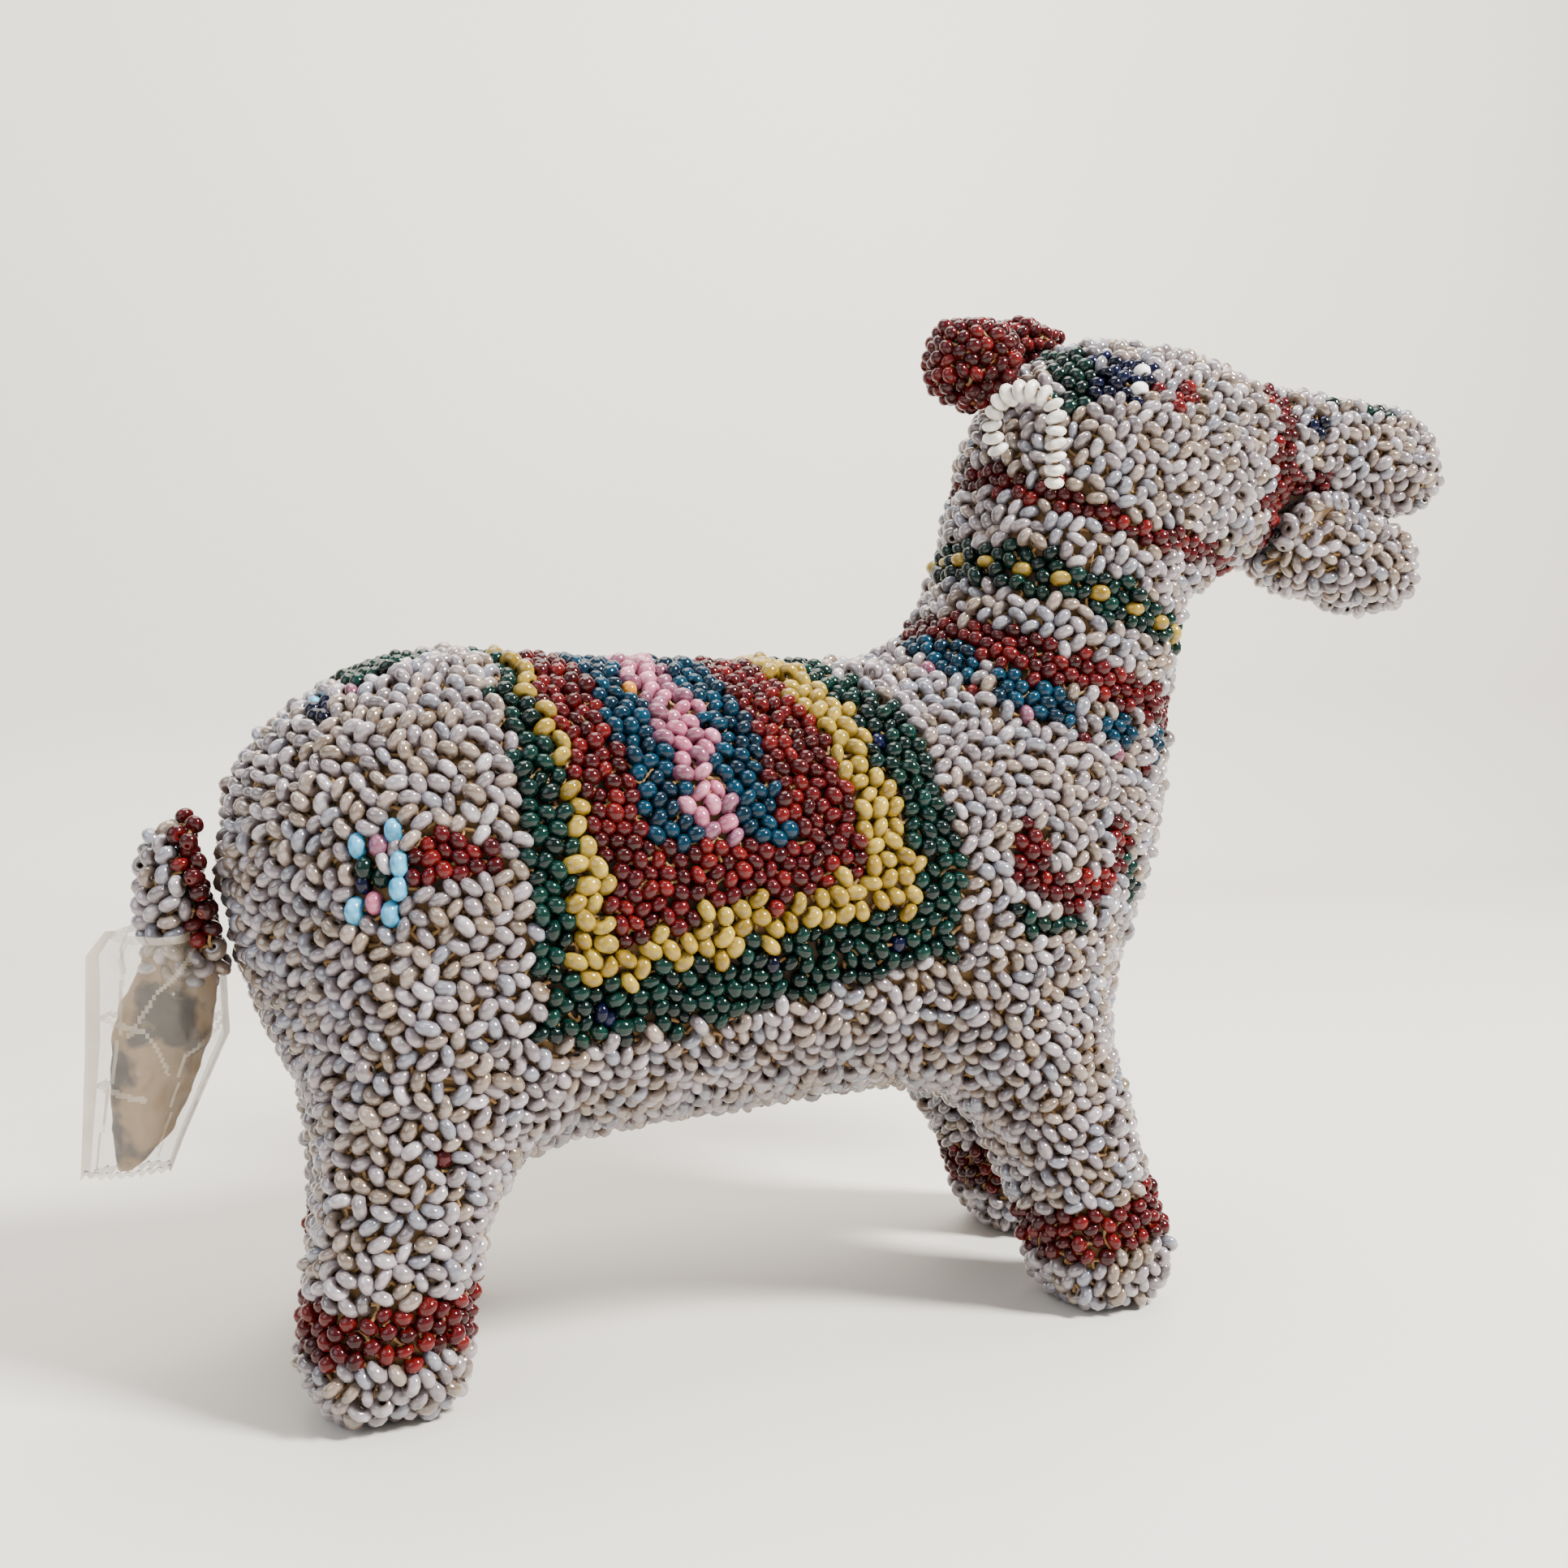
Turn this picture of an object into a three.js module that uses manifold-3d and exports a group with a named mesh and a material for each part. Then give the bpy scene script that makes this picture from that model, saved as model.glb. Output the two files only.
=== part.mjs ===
// A small stuffed pack animal covered with a net of threaded seed beads, as an assembly of its pieces.
// Millimetres, +Z up, +X towards the head, +Y the animal's left. It stands on four flat soles at z = 0.
// The soft body is one blended form. The bead net is the form's outer layer, cut where the colours or
// sections of the net change, and the stuffing is what lies inside the net.
import * as THREE from "three";
import { mergeVertices } from "three/addons/utils/BufferGeometryUtils.js";
import Module from "manifold-3d";

const wasm = await Module();
wasm.setup();

// ---------- Driving dimensions ----------
const NET = 2.2; // thickness of the bead net
const GAP = 0.4; // room between neighbouring pieces
const SEAT_GAP = 0.5; // room round a piece that is sewn on to a curved surface
const NET_CELL = 5.2; // grid spacing of the outer surface
const CORE_CELL = 6.1; // grid spacing of the hidden surfaces
const BLEND = 7; // how far one round form runs into the next

// Each row of balls is x, y, z, radius, from one end of a round form to the other.
const BACK = [[-25, 0, 51.3, 20.5], [31.5, 0, 50.4, 20.2]];
const BELLY = [[-24, 0, 40.8, 20.3], [30, 0, 43.8, 19.8]];
const DOCK = [[-27, 0, 51, 18], [-36, 0, 54, 11.5]]; // the rump drawn out to where the tail leaves it
const NECK = [[40, 0, 58, 16.6], [46.6, 0, 88, 13.8]];
const SKULL = [[49, 0, 94.4, 13.2], [61, 0, 95, 10.4]];
const FACE = [[61, 0, 95.6, 9.4], [77, 0, 96.8, 5.4], [91.4, 0, 94.9, 7.9]];
const THROAT = [[59, 0, 88, 9], [69.5, 0, 86.3, 5.6]];
const JAW = [[76.5, 0, 86.4, 7.4], [89.3, 0, 82.4, 6.8]];
// The right legs, hip first. Each left foot stands STRIDE ahead of the right one.
const HIND_LEG = [[-29, -11.5, 34, 10.5], [-32.4, -13, 20, 7], [-34.2, -13, 6.9, 9.6]];
const FRONT_LEG = [[33, -10.5, 33, 10], [38.8, -12, 21, 6.8], [43.6, -12.6, 6.2, 9.1]];
const STRIDE = 4;
// The tail is a stub that leaves the rump, turns down and ends in a bare, tapered end of stuffing.
const TAIL = {
  root: [-48.6, 50.2],
  bend: [-51, 41.8],
  bulge: [-52.4, 33.5],
  tip: [-55, 24.5],
  netR: [7.1, 4.5],
  coreR: [4.2, 1.8, 4.2, 1.5],
  flatness: 0.82, // its width across the animal beside its depth
  netEnd: 36.6, // height of the last row of its net
  lean: 0.2, // slope of the rump where the tail leaves it
  rumpFace: 36.9, // how far back the rump reaches, square to that slope
  rootRoom: 1.1, // clear space between the rump and the tail's first row, which lets it swing
  ring: 2.8, // width of the dark ring at its root
};

const LEG_TOP = 18.6; // height where the legs' nets meet the belly
const LEG_BANDS = { hind: [6.6, 12.4], front: [6.9, 12.9] }; // dark band above each foot
const LEG_TILT = { hind: 0, front: THREE.MathUtils.degToRad(12) }; // the front legs step forward
const NECK_TILT = THREE.MathUtils.degToRad(20); // the neck's rings slope down to the front
const NECK_RINGS = { wideBand: [76.9, 80.9], collar: [85.7, 89.9], throat: [94.8, 97.2] };
const NOSEBAND = [69.6, 72.8];
const BLANKET = { hindX: -21.2, frontX: 23.5, slope: 0.155, edge: 38 };
const EARS = {
  right: [[32.2, -2.6, 103.4, 6], [33, -2.4, 103.5, 6]],
  left: [[44, 9, 106.2, 6], [44.8, 8.8, 106.4, 6]],
};
const STRAND_R = 1.3; // radius of the white beads in the two side loops
const LOOPS = {
  right: [
    [33.1, -8.3, 92.8],
    [31.9, -8.5, 95.2],
    [31.9, -10, 98],
    [33.6, -12.8, 99],
    [35.8, -14.7, 97.4],
    [36.3, -14.4, 93.2],
    [36.8, -13.3, 88.8],
  ],
  left: [
    [46.6, 16.9, 92.6],
    [46, 17.9, 95.4],
    [46.6, 18.6, 98],
    [49, 18.6, 99],
    [51.4, 18.4, 97.6],
    [52, 17.9, 93.2],
    [52, 16.3, 88.8],
  ],
};
// A clear film folded round the tail's end, in outline from the side, thick at its mouth and flat below.
const TAPE = { wall: 0.5, mouthHalf: 5.6, footHalf: 1.3, top: 45.5, foot: 20.7 };
const TAPE_OUTLINE = [
  [-57.7, 45],
  [-48.4, 45.5],
  [-46.6, 40.5],
  [-46.9, 37.5],
  [-51, 30],
  [-51, 22.6],
  [-54.4, 22.2],
  [-56.2, 20.7],
  [-59.4, 22],
  [-59.6, 34],
];

// ---------- Colours and finishes ----------
const pearl = new THREE.MeshStandardMaterial({ color: 0xc2bbc0, roughness: 0.3, metalness: 0 });
const ruby = new THREE.MeshStandardMaterial({ color: 0x751d20, roughness: 0.2, metalness: 0 });
const pine = new THREE.MeshStandardMaterial({ color: 0x10463a, roughness: 0.2, metalness: 0 });
const white = new THREE.MeshStandardMaterial({ color: 0xedebe6, roughness: 0.35, metalness: 0 });
const stuffing = new THREE.MeshStandardMaterial({ color: 0x8a6a3a, roughness: 0.95, metalness: 0 });
const film = new THREE.MeshStandardMaterial({ color: 0xd8d2c4, roughness: 0.15, transparent: true, opacity: 0.4 });

// ---------- Round forms ----------
const ball = ([x, y, z, r]) => new THREE.Vector4(x, y, z, r);
const stridden = (row) => row.map(([x, y, z, r], n) => [x + (n / 2) * STRIDE, -y, z, r]);

// The round cones that join each ball of a row to the next.
const limbsOf = (row) => row.slice(1).map((next, n) => [ball(row[n]), ball(next)]);

// Signed distance from a point to the round cone that every ball between a and b fills.
function limbDistance(p, [a, b]) {
  const axis = [b.x - a.x, b.y - a.y, b.z - a.z];
  const from = [p[0] - a.x, p[1] - a.y, p[2] - a.z];
  const length = Math.hypot(...axis);
  const along = (from[0] * axis[0] + from[1] * axis[1] + from[2] * axis[2]) / length;
  const away = Math.hypot(...from.map((v, n) => v - (along * axis[n]) / length));
  const slope = (a.w - b.w) / length;
  const reach = along - (slope * away) / Math.sqrt(1 - slope * slope);
  const nearest = THREE.MathUtils.clamp(reach, 0, length);
  return Math.hypot(away, along - nearest) - (a.w - slope * nearest);
}

// Smallest distance to a list of limbs, with the inner corners filled.
function formDistance(p, limbs, blend) {
  let nearest = 1e6;
  for (const limb of limbs) {
    const d = limbDistance(p, limb);
    const fill = Math.max(blend - Math.abs(nearest - d), 0);
    nearest = Math.min(nearest, d) - (fill * fill) / (4 * blend);
  }
  return nearest;
}

// A closed solid of every point deeper than `inset` in the form: one vertex in each grid cell that
// the surface crosses, and one square across each grid edge that it crosses. `draw` then draws the
// whole surface in, so that it nests inside the undrawn one with the same gap all over.
function formSolid(limbs, inset, cell, { blend = BLEND, draw = 0 } = {}) {
  const box = new THREE.Box3();
  for (const b of limbs.flat()) {
    const centre = new THREE.Vector3(b.x, b.y, b.z);
    box.expandByPoint(centre.clone().addScalar(b.w + BLEND));
    box.expandByPoint(centre.clone().subScalar(b.w + BLEND));
  }
  const low = box.min.toArray().map((v) => (Math.floor(v / cell) - 0.5) * cell);
  const count = box.max.toArray().map((v, i) => Math.ceil((v - low[i]) / cell) + 2);
  const index = (i, j, k) => (k * count[1] + j) * count[0] + i;
  const value = new Float64Array(count[0] * count[1] * count[2]);
  for (let k = 0; k < count[2]; k++)
    for (let j = 0; j < count[1]; j++)
      for (let i = 0; i < count[0]; i++) {
        const p = [low[0] + i * cell, low[1] + j * cell, low[2] + k * cell];
        value[index(i, j, k)] = formDistance(p, limbs, blend) + inset;
      }
  const corners = [...Array(8).keys()].map((c) => [c & 1, (c >> 1) & 1, c >> 2]);
  const edges = [];
  for (let a = 0; a < 8; a++)
    for (let axis = 0; axis < 3; axis++)
      if (!corners[a][axis]) edges.push([a, a | (1 << axis)]);
  const vertexOf = new Map();
  const vertices = [];
  for (let k = 0; k < count[2] - 1; k++)
    for (let j = 0; j < count[1] - 1; j++)
      for (let i = 0; i < count[0] - 1; i++) {
        const at = corners.map((c) => value[index(i + c[0], j + c[1], k + c[2])]);
        const sum = [0, 0, 0];
        let crossings = 0;
        for (const [a, b] of edges) {
          if (at[a] < 0 === at[b] < 0) continue;
          const t = at[a] / (at[a] - at[b]);
          for (let n = 0; n < 3; n++) sum[n] += THREE.MathUtils.lerp(corners[a][n], corners[b][n], t);
          crossings++;
        }
        if (!crossings) continue;
        vertexOf.set(index(i, j, k), vertices.length / 3);
        vertices.push(...[i, j, k].map((c, n) => low[n] + (c + sum[n] / crossings) * cell));
      }
  for (let v = 0; draw && v < vertices.length; v += 3) {
    const p = vertices.slice(v, v + 3);
    const slope = [0, 1, 2].map((n) => {
      const [ahead, behind] = [p.slice(), p.slice()];
      ahead[n] += 0.1;
      behind[n] -= 0.1;
      return formDistance(ahead, limbs, blend) - formDistance(behind, limbs, blend);
    });
    const steep = Math.hypot(...slope);
    for (let n = 0; n < 3; n++) vertices[v + n] -= (slope[n] / steep) * draw;
  }
  const triangles = [];
  const step = [1, count[0], count[0] * count[1]];
  for (let k = 1; k < count[2] - 1; k++)
    for (let j = 1; j < count[1] - 1; j++)
      for (let i = 1; i < count[0] - 1; i++)
        for (let axis = 0; axis < 3; axis++) {
          const here = index(i, j, k);
          const inside = value[here] < 0;
          if (inside === value[here + step[axis]] < 0) continue;
          const [u, v] = [step[(axis + 1) % 3], step[(axis + 2) % 3]];
          const quad = [here - u - v, here - v, here, here - u].map((c) => vertexOf.get(c));
          if (!inside) quad.reverse();
          triangles.push(quad[0], quad[1], quad[2], quad[0], quad[2], quad[3]);
        }
  return new wasm.Manifold(
    new wasm.Mesh({
      numProp: 3,
      vertProperties: new Float32Array(vertices),
      triVerts: new Uint32Array(triangles),
    }),
  );
}

// ---------- Cutting ----------
const above = (solid, normal, height) => solid.trimByPlane(normal, height + GAP / 2);
const below = (solid, normal, height) => solid.trimByPlane(normal.map((n) => -n), GAP / 2 - height);
const between = (solid, normal, [low, high]) => below(above(solid, normal, low), normal, high);
const UP = [0, 0, 1];
const FORWARD = [1, 0, 0];
const LEFTWARD = [0, 1, 0];
const RING = [Math.sin(NECK_TILT), 0, Math.cos(NECK_TILT)];
const HEM = [-BLANKET.slope / Math.hypot(1, BLANKET.slope), 0, 1 / Math.hypot(1, BLANKET.slope)];

// A three.js geometry as a solid that can be cut and joined.
function solidOf(geometry) {
  geometry.deleteAttribute("normal");
  geometry.deleteAttribute("uv");
  const merged = mergeVertices(geometry, 1e-3);
  return new wasm.Manifold(
    new wasm.Mesh({
      numProp: 3,
      vertProperties: merged.attributes.position.array,
      triVerts: new Uint32Array(merged.index.array),
    }),
  );
}

const animal = new THREE.Group();

function addPiece(name, solid, material) {
  const mesh = solid.getMesh();
  const positions = new Float32Array(mesh.numVert * 3);
  for (let v = 0; v < mesh.numVert; v++)
    positions.set(mesh.vertProperties.subarray(v * mesh.numProp, v * mesh.numProp + 3), v * 3);
  const geometry = new THREE.BufferGeometry();
  geometry.setAttribute("position", new THREE.BufferAttribute(positions, 3));
  geometry.setIndex(new THREE.BufferAttribute(mesh.triVerts, 1));
  const flat = geometry.toNonIndexed();
  flat.computeVertexNormals();
  const piece = new THREE.Mesh(flat, material);
  piece.name = name;
  animal.add(piece);
}

// ---------- The body: torso, neck, head and legs ----------
const LEGS = {
  hind: { right: HIND_LEG, left: stridden(HIND_LEG) },
  front: { right: FRONT_LEG, left: stridden(FRONT_LEG) },
};
const legRows = Object.values(LEGS).flatMap(Object.values);
const bodyLimbs = [BACK, BELLY, DOCK, NECK, THROAT, SKULL, FACE, ...legRows].flatMap(limbsOf);
const bodyOuter = formSolid(bodyLimbs, 0, NET_CELL).trimByPlane(UP, 0);
const bodyInner = formSolid(bodyLimbs, NET, CORE_CELL).trimByPlane(UP, NET);
const bodyFilling = formSolid(bodyLimbs, NET, CORE_CELL, { draw: GAP }).trimByPlane(UP, NET + GAP);
const bodyNet = bodyOuter.subtract(bodyInner);
const bodySeat = formSolid(bodyLimbs, -SEAT_GAP, NET_CELL);

// Torso: rump, belly and chest nets round the saddle blanket's net.
const torsoNet = below(above(bodyNet, UP, LEG_TOP), RING, NECK_RINGS.wideBand[0]);
const barrelNet = between(torsoNet, FORWARD, [BLANKET.hindX, BLANKET.frontX]);
addPiece("rump_net", below(torsoNet, FORWARD, BLANKET.hindX), pearl);
addPiece("chest_net", above(torsoNet, FORWARD, BLANKET.frontX), pearl);
addPiece("belly_net", below(barrelNet, HEM, BLANKET.edge), pearl);
addPiece("saddle_blanket_net", above(barrelNet, HEM, BLANKET.edge), ruby);
addPiece("torso_stuffing", below(above(bodyFilling, UP, LEG_TOP), RING, NECK_RINGS.wideBand[0]), stuffing);

// Neck: two dark bands and a beaded collar, with plain net between them.
const aboveTorso = above(bodyNet, RING, NECK_RINGS.wideBand[0]);
addPiece("neck_wide_band", between(aboveTorso, RING, NECK_RINGS.wideBand), ruby);
addPiece("neck_lower_net", between(aboveTorso, RING, [NECK_RINGS.wideBand[1], NECK_RINGS.collar[0]]), pearl);
addPiece("collar_band", between(aboveTorso, RING, NECK_RINGS.collar), pine);
addPiece("neck_upper_net", between(aboveTorso, RING, [NECK_RINGS.collar[1], NECK_RINGS.throat[0]]), pearl);
addPiece("throat_band", between(aboveTorso, RING, NECK_RINGS.throat), ruby);
addPiece("neck_stuffing", between(bodyFilling, RING, [NECK_RINGS.wideBand[0], NECK_RINGS.throat[0]]), stuffing);

// Head: skull, noseband and muzzle, with the lower jaw as its own lobe below the mouth.
const headNet = above(bodyNet, RING, NECK_RINGS.throat[1]);
addPiece("head_net", below(headNet, FORWARD, NOSEBAND[0]), pearl);
addPiece("noseband", between(headNet, FORWARD, NOSEBAND), ruby);
addPiece("muzzle_net", above(headNet, FORWARD, NOSEBAND[1]), pearl);
addPiece("head_stuffing", above(bodyFilling, RING, NECK_RINGS.throat[0]), stuffing);

const jawLimbs = limbsOf(JAW);
const JAW_CELL = 3.7;
const largest = (solid) => solid.decompose().sort((a, b) => b.volume() - a.volume())[0];
const jawInner = formSolid(jawLimbs, NET, JAW_CELL);
const jawFilling = formSolid(jawLimbs, NET, JAW_CELL, { draw: GAP });
addPiece("jaw_net", largest(formSolid(jawLimbs, 0, JAW_CELL).subtract(bodySeat).subtract(jawInner)), pearl);
addPiece("jaw_stuffing", largest(jawFilling.subtract(bodySeat)), stuffing);

// Ears: two beaded balls sewn to the back of the head.
for (const [side, row] of Object.entries(EARS)) {
  const [, y, , radius] = row[0];
  const cell = radius / 2;
  const root = [SKULL[0][0], y / 2, SKULL[0][2], radius];
  const outer = formSolid(limbsOf(row), 0, cell).subtract(bodySeat);
  const throughSeat = [...limbsOf(row), ...limbsOf([row[0], root])];
  const inner = formSolid(throughSeat, NET, cell, { blend: 1 });
  const filling = formSolid(throughSeat, NET, cell, { blend: 1, draw: GAP });
  addPiece(`ear_${side}_net`, outer.subtract(inner), ruby);
  addPiece(`ear_${side}_stuffing`, filling.subtract(bodySeat), stuffing);
}

// Legs: net, dark band and foot on each.
const betweenLegs = (HIND_LEG[2][0] + FRONT_LEG[2][0]) / 2;
for (const [pair, rows] of Object.entries(LEGS))
  for (const [side, row] of Object.entries(rows)) {
    const cut = pair === "hind" ? below : above;
    const legOf = (solid) =>
      cut(below(solid, UP, LEG_TOP), FORWARD, betweenLegs).trimByPlane([0, Math.sign(row[2][1]), 0], 0);
    const net = legOf(bodyNet);
    const along = [-Math.sin(LEG_TILT[pair]), 0, Math.cos(LEG_TILT[pair])];
    const [bandLow, bandHigh] = LEG_BANDS[pair].map((height) => height + along[0] * row[2][0]);
    addPiece(`leg_${pair}_${side}_net`, above(net, along, bandHigh), pearl);
    addPiece(`leg_${pair}_${side}_band`, between(net, along, [bandLow, bandHigh]), ruby);
    addPiece(`foot_${pair}_${side}_net`, below(net, along, bandLow), pearl);
    addPiece(`leg_${pair}_${side}_stuffing`, legOf(bodyFilling), stuffing);
  }

// ---------- The tail and its wrap of film ----------
const TAIL_CELL = 3.1;
const TAIL_BLEND = 1.5;
const tailRow = (places, radii) => places.map(([x, z], n) => [x, 0, z, radii[n]]);
const tailNetLimbs = limbsOf(tailRow([TAIL.root, TAIL.bend], TAIL.netR));
const tailCoreLimbs = limbsOf(tailRow([TAIL.root, TAIL.bend, TAIL.bulge, TAIL.tip], TAIL.coreR));
const flatten = (solid) => solid.scale([1, TAIL.flatness, 1]);
const tailForm = (limbs, inset) => flatten(formSolid(limbs, inset, TAIL_CELL, { blend: TAIL_BLEND }));
const leanLength = Math.hypot(1, TAIL.lean);
const BACKWARD = [-1 / leanLength, 0, -TAIL.lean / leanLength];
const tailStart = TAIL.rumpFace + TAIL.rootRoom - GAP / 2;
const tailNet = tailForm(tailNetLimbs, 0).subtract(tailForm(tailCoreLimbs, -GAP));
const tailCovered = above(tailNet, UP, TAIL.netEnd);
addPiece("tail_ring", between(tailCovered, BACKWARD, [tailStart, tailStart + TAIL.ring]), ruby);
addPiece("tail_net", above(tailCovered, BACKWARD, tailStart + TAIL.ring), pearl);
addPiece("tail_stuffing", above(tailForm(tailCoreLimbs, 0), BACKWARD, tailStart), stuffing);

// The film's outline, drawn in a little and pulled through its mouth for the hollow.
function filmBody(inset, mouth) {
  const middle = new THREE.Vector2(-52.5, 34);
  const outline = TAPE_OUTLINE.map(([x, z]) => {
    const out = new THREE.Vector2(x, z).sub(middle);
    return out.setLength(out.length() - inset * 1.2).add(middle);
  });
  if (mouth)
    for (const corner of outline.slice(0, 2)) corner.y += mouth;
  const half = TAPE.mouthHalf - inset;
  const options = { depth: 2 * half, bevelEnabled: false, steps: 1 };
  const geometry = new THREE.ExtrudeGeometry(new THREE.Shape(outline), options);
  geometry.translate(0, 0, -half).rotateX(Math.PI / 2);
  const taper = (TAPE.mouthHalf - TAPE.footHalf) / (TAPE.top - TAPE.foot);
  const length = Math.hypot(1, taper);
  const reach = (TAPE.footHalf - inset - taper * TAPE.foot) / length;
  return solidOf(geometry)
    .trimByPlane([0, -1 / length, taper / length], -reach)
    .trimByPlane([0, 1 / length, taper / length], -reach);
}
const tapeRoom = tailForm(tailNetLimbs, -GAP).add(tailForm(tailCoreLimbs, -GAP));
const tapeShell = filmBody(0, 0).subtract(filmBody(TAPE.wall, 6)).subtract(tapeRoom);
addPiece("tail_tape", largest(tapeShell), film);

// ---------- The two loops of white beads at the sides of the head ----------
for (const [side, route] of Object.entries(LOOPS)) {
  const points = route.map((place) => new THREE.Vector3(...place));
  const section = new THREE.Shape(
    [...Array(8).keys()].map((n) => {
      const turn = (n / 8) * 2 * Math.PI;
      return new THREE.Vector2(STRAND_R * Math.cos(turn), STRAND_R * Math.sin(turn));
    }),
  );
  const strand = { extrudePath: new THREE.CatmullRomCurve3(points), steps: 16, bevelEnabled: false };
  const solid = solidOf(new THREE.ExtrudeGeometry(section, strand));
  addPiece(`bead_loop_${side}`, solid, white);
}

// The frame's origin is under the middle of the whole figure, at the soles.
const whole = new THREE.Box3().setFromObject(animal);
animal.position.x = -(whole.min.x + whole.max.x) / 2;
animal.position.y = -(whole.min.y + whole.max.y) / 2;
animal.position.z = -whole.min.z;

export default animal;
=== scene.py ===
# %% [markdown]
# # A stuffed pack animal in a net of threaded beads
# The figure is a firm stuffed form, about 158 mm long here. A close net of glass seed beads covers it, with
# the colours changed bead by bead to draw a saddle blanket, bands and flowers.
# Here a smooth skin is laid round the frame's nodes, beads are strewn on it and settled until they hardly
# crowd each other, and the thread and the stuffing are added below them. Every bead is its own ring with
# its own hole, though neighbours still press into each other a little.

import math

import bmesh
import bpy
import numpy as np
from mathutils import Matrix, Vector, noise
from mathutils.bvhtree import BVHTree
from mathutils.kdtree import KDTree


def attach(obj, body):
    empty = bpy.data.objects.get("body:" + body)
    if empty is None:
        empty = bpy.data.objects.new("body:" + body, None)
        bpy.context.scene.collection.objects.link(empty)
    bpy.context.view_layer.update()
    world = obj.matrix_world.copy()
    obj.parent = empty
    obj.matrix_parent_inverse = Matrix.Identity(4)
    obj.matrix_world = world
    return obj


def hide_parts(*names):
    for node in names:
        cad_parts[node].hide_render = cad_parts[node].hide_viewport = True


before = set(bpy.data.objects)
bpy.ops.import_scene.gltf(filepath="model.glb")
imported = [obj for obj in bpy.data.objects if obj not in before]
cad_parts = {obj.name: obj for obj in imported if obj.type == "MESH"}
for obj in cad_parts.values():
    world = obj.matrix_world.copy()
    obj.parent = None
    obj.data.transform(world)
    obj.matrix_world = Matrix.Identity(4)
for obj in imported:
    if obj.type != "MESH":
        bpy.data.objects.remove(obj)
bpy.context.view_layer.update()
MM = 0.001
chance = np.random.default_rng(7)

# %% [markdown]
# ## The eye's place
# The figure is seen from its right side, a little behind, with the eye almost level with its back and
# close to it. A short distance matters: it makes the rump's beads look larger than the muzzle's.

# %% Camera
EYE = Vector((-73.5, -170.9, 70.2)) * MM
LOOKED_AT = Vector((-10.3, -5.8, 57.65)) * MM
FOCAL_LENGTH = 38.5
camera = bpy.data.objects.new("camera", bpy.data.cameras.new("camera"))
camera.data.sensor_width = 36.0
camera.data.lens = FOCAL_LENGTH
camera.data.clip_start = 5 * MM
camera.location = EYE
camera.rotation_euler = (LOOKED_AT - EYE).to_track_quat("-Z", "Y").to_euler()
bpy.context.scene.collection.objects.link(camera)
bpy.context.scene.camera = camera

# %% [markdown]
# ## Colour and shader helpers
# Colours are written as sRGB hex and turned to linear light in one place. `add` makes any shader node,
# sets its properties and feeds its inputs, so that each finish below reads as a list of what it is made of.


# %% Helpers for finishes
def linear(code):
    """An sRGB hex colour as linear red, green, blue and one."""
    parts = [int(code[i : i + 2], 16) / 255 for i in (1, 3, 5)]
    return (*[v / 12.92 if v <= 0.04045 else ((v + 0.055) / 1.055) ** 2.4 for v in parts], 1.0)


def add(tree, kind, settings=None, inputs=None):
    """A shader node with its properties set, and its inputs linked to a socket or given a value."""
    node = tree.nodes.new(kind)
    for name, value in (settings or {}).items():
        setattr(node, name, value)
    for name, value in (inputs or {}).items():
        if isinstance(value, bpy.types.NodeSocket):
            tree.links.new(value, node.inputs[name])
        else:
            node.inputs[name].default_value = value
    return node


def object_place(tree):
    return add(tree, "ShaderNodeTexCoord").outputs["Object"]


def cloud(tree, scale, place=None, **more):
    """Soft noise of this many lumps to the metre, from 0 to 1."""
    inputs = {"Vector": place or object_place(tree), "Scale": scale, **more}
    return add(tree, "ShaderNodeTexNoise", None, inputs).outputs["Fac"]


def blend(tree, share, first, second):
    """The first colour where the share is 0, the second where it is 1."""
    inputs = {"Factor": share, "A": first, "B": second}
    return add(tree, "ShaderNodeMix", {"data_type": "RGBA"}, inputs).outputs["Result"]


def raised(tree, height, strength, depth):
    """A bumped normal whose full height is `depth` metres."""
    inputs = {"Strength": strength, "Distance": depth, "Height": height}
    return add(tree, "ShaderNodeBump", None, inputs).outputs["Normal"]


def finish_named(name, colour, surface):
    """A material whose Principled shader takes `colour(tree)` and the settings in `surface(tree)`."""
    material = bpy.data.materials.new(name)
    material.use_nodes = True
    tree = material.node_tree
    tree.nodes.clear()
    inputs = {"Base Color": colour(tree), **surface(tree)}
    shader = add(tree, "ShaderNodeBsdfPrincipled", None, inputs)
    add(tree, "ShaderNodeOutputMaterial", None, {"Surface": shader.outputs[0]})
    return material


# %% [markdown]
# ## Shelf and daylight
# The figure stands on a pale shelf in soft daylight. A small strong light to the right and in front puts
# one bright spot on the upper right of every bead, and the rest is wide and soft, as in a pale room.

# %% Shelf, wall and light
BACK_WALL = 330 * MM
SWEEP = 60 * MM
SWEEP_STEPS = 8
SHELF_REACH = 3000 * MM
WALL_TOP = 800 * MM
profile = [(-SHELF_REACH, 0.0), (BACK_WALL - SWEEP, 0.0)]
for step in range(1, SWEEP_STEPS + 1):
    angle = step / SWEEP_STEPS * math.pi / 2
    profile.append((BACK_WALL - SWEEP + SWEEP * math.sin(angle), SWEEP - SWEEP * math.cos(angle)))
profile.append((BACK_WALL, WALL_TOP))
shelf_points = [(side * SHELF_REACH, y, z) for y, z in profile for side in (-1, 1)]
shelf_faces = [(2 * i, 2 * i + 1, 2 * i + 3, 2 * i + 2) for i in range(len(profile) - 1)]
shelf_mesh = bpy.data.meshes.new("shelf")
shelf_mesh.from_pydata(shelf_points, [], shelf_faces)
shelf_mesh.shade_smooth()
shelf = bpy.data.objects.new("shelf", shelf_mesh)
bpy.context.scene.collection.objects.link(shelf)


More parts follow.
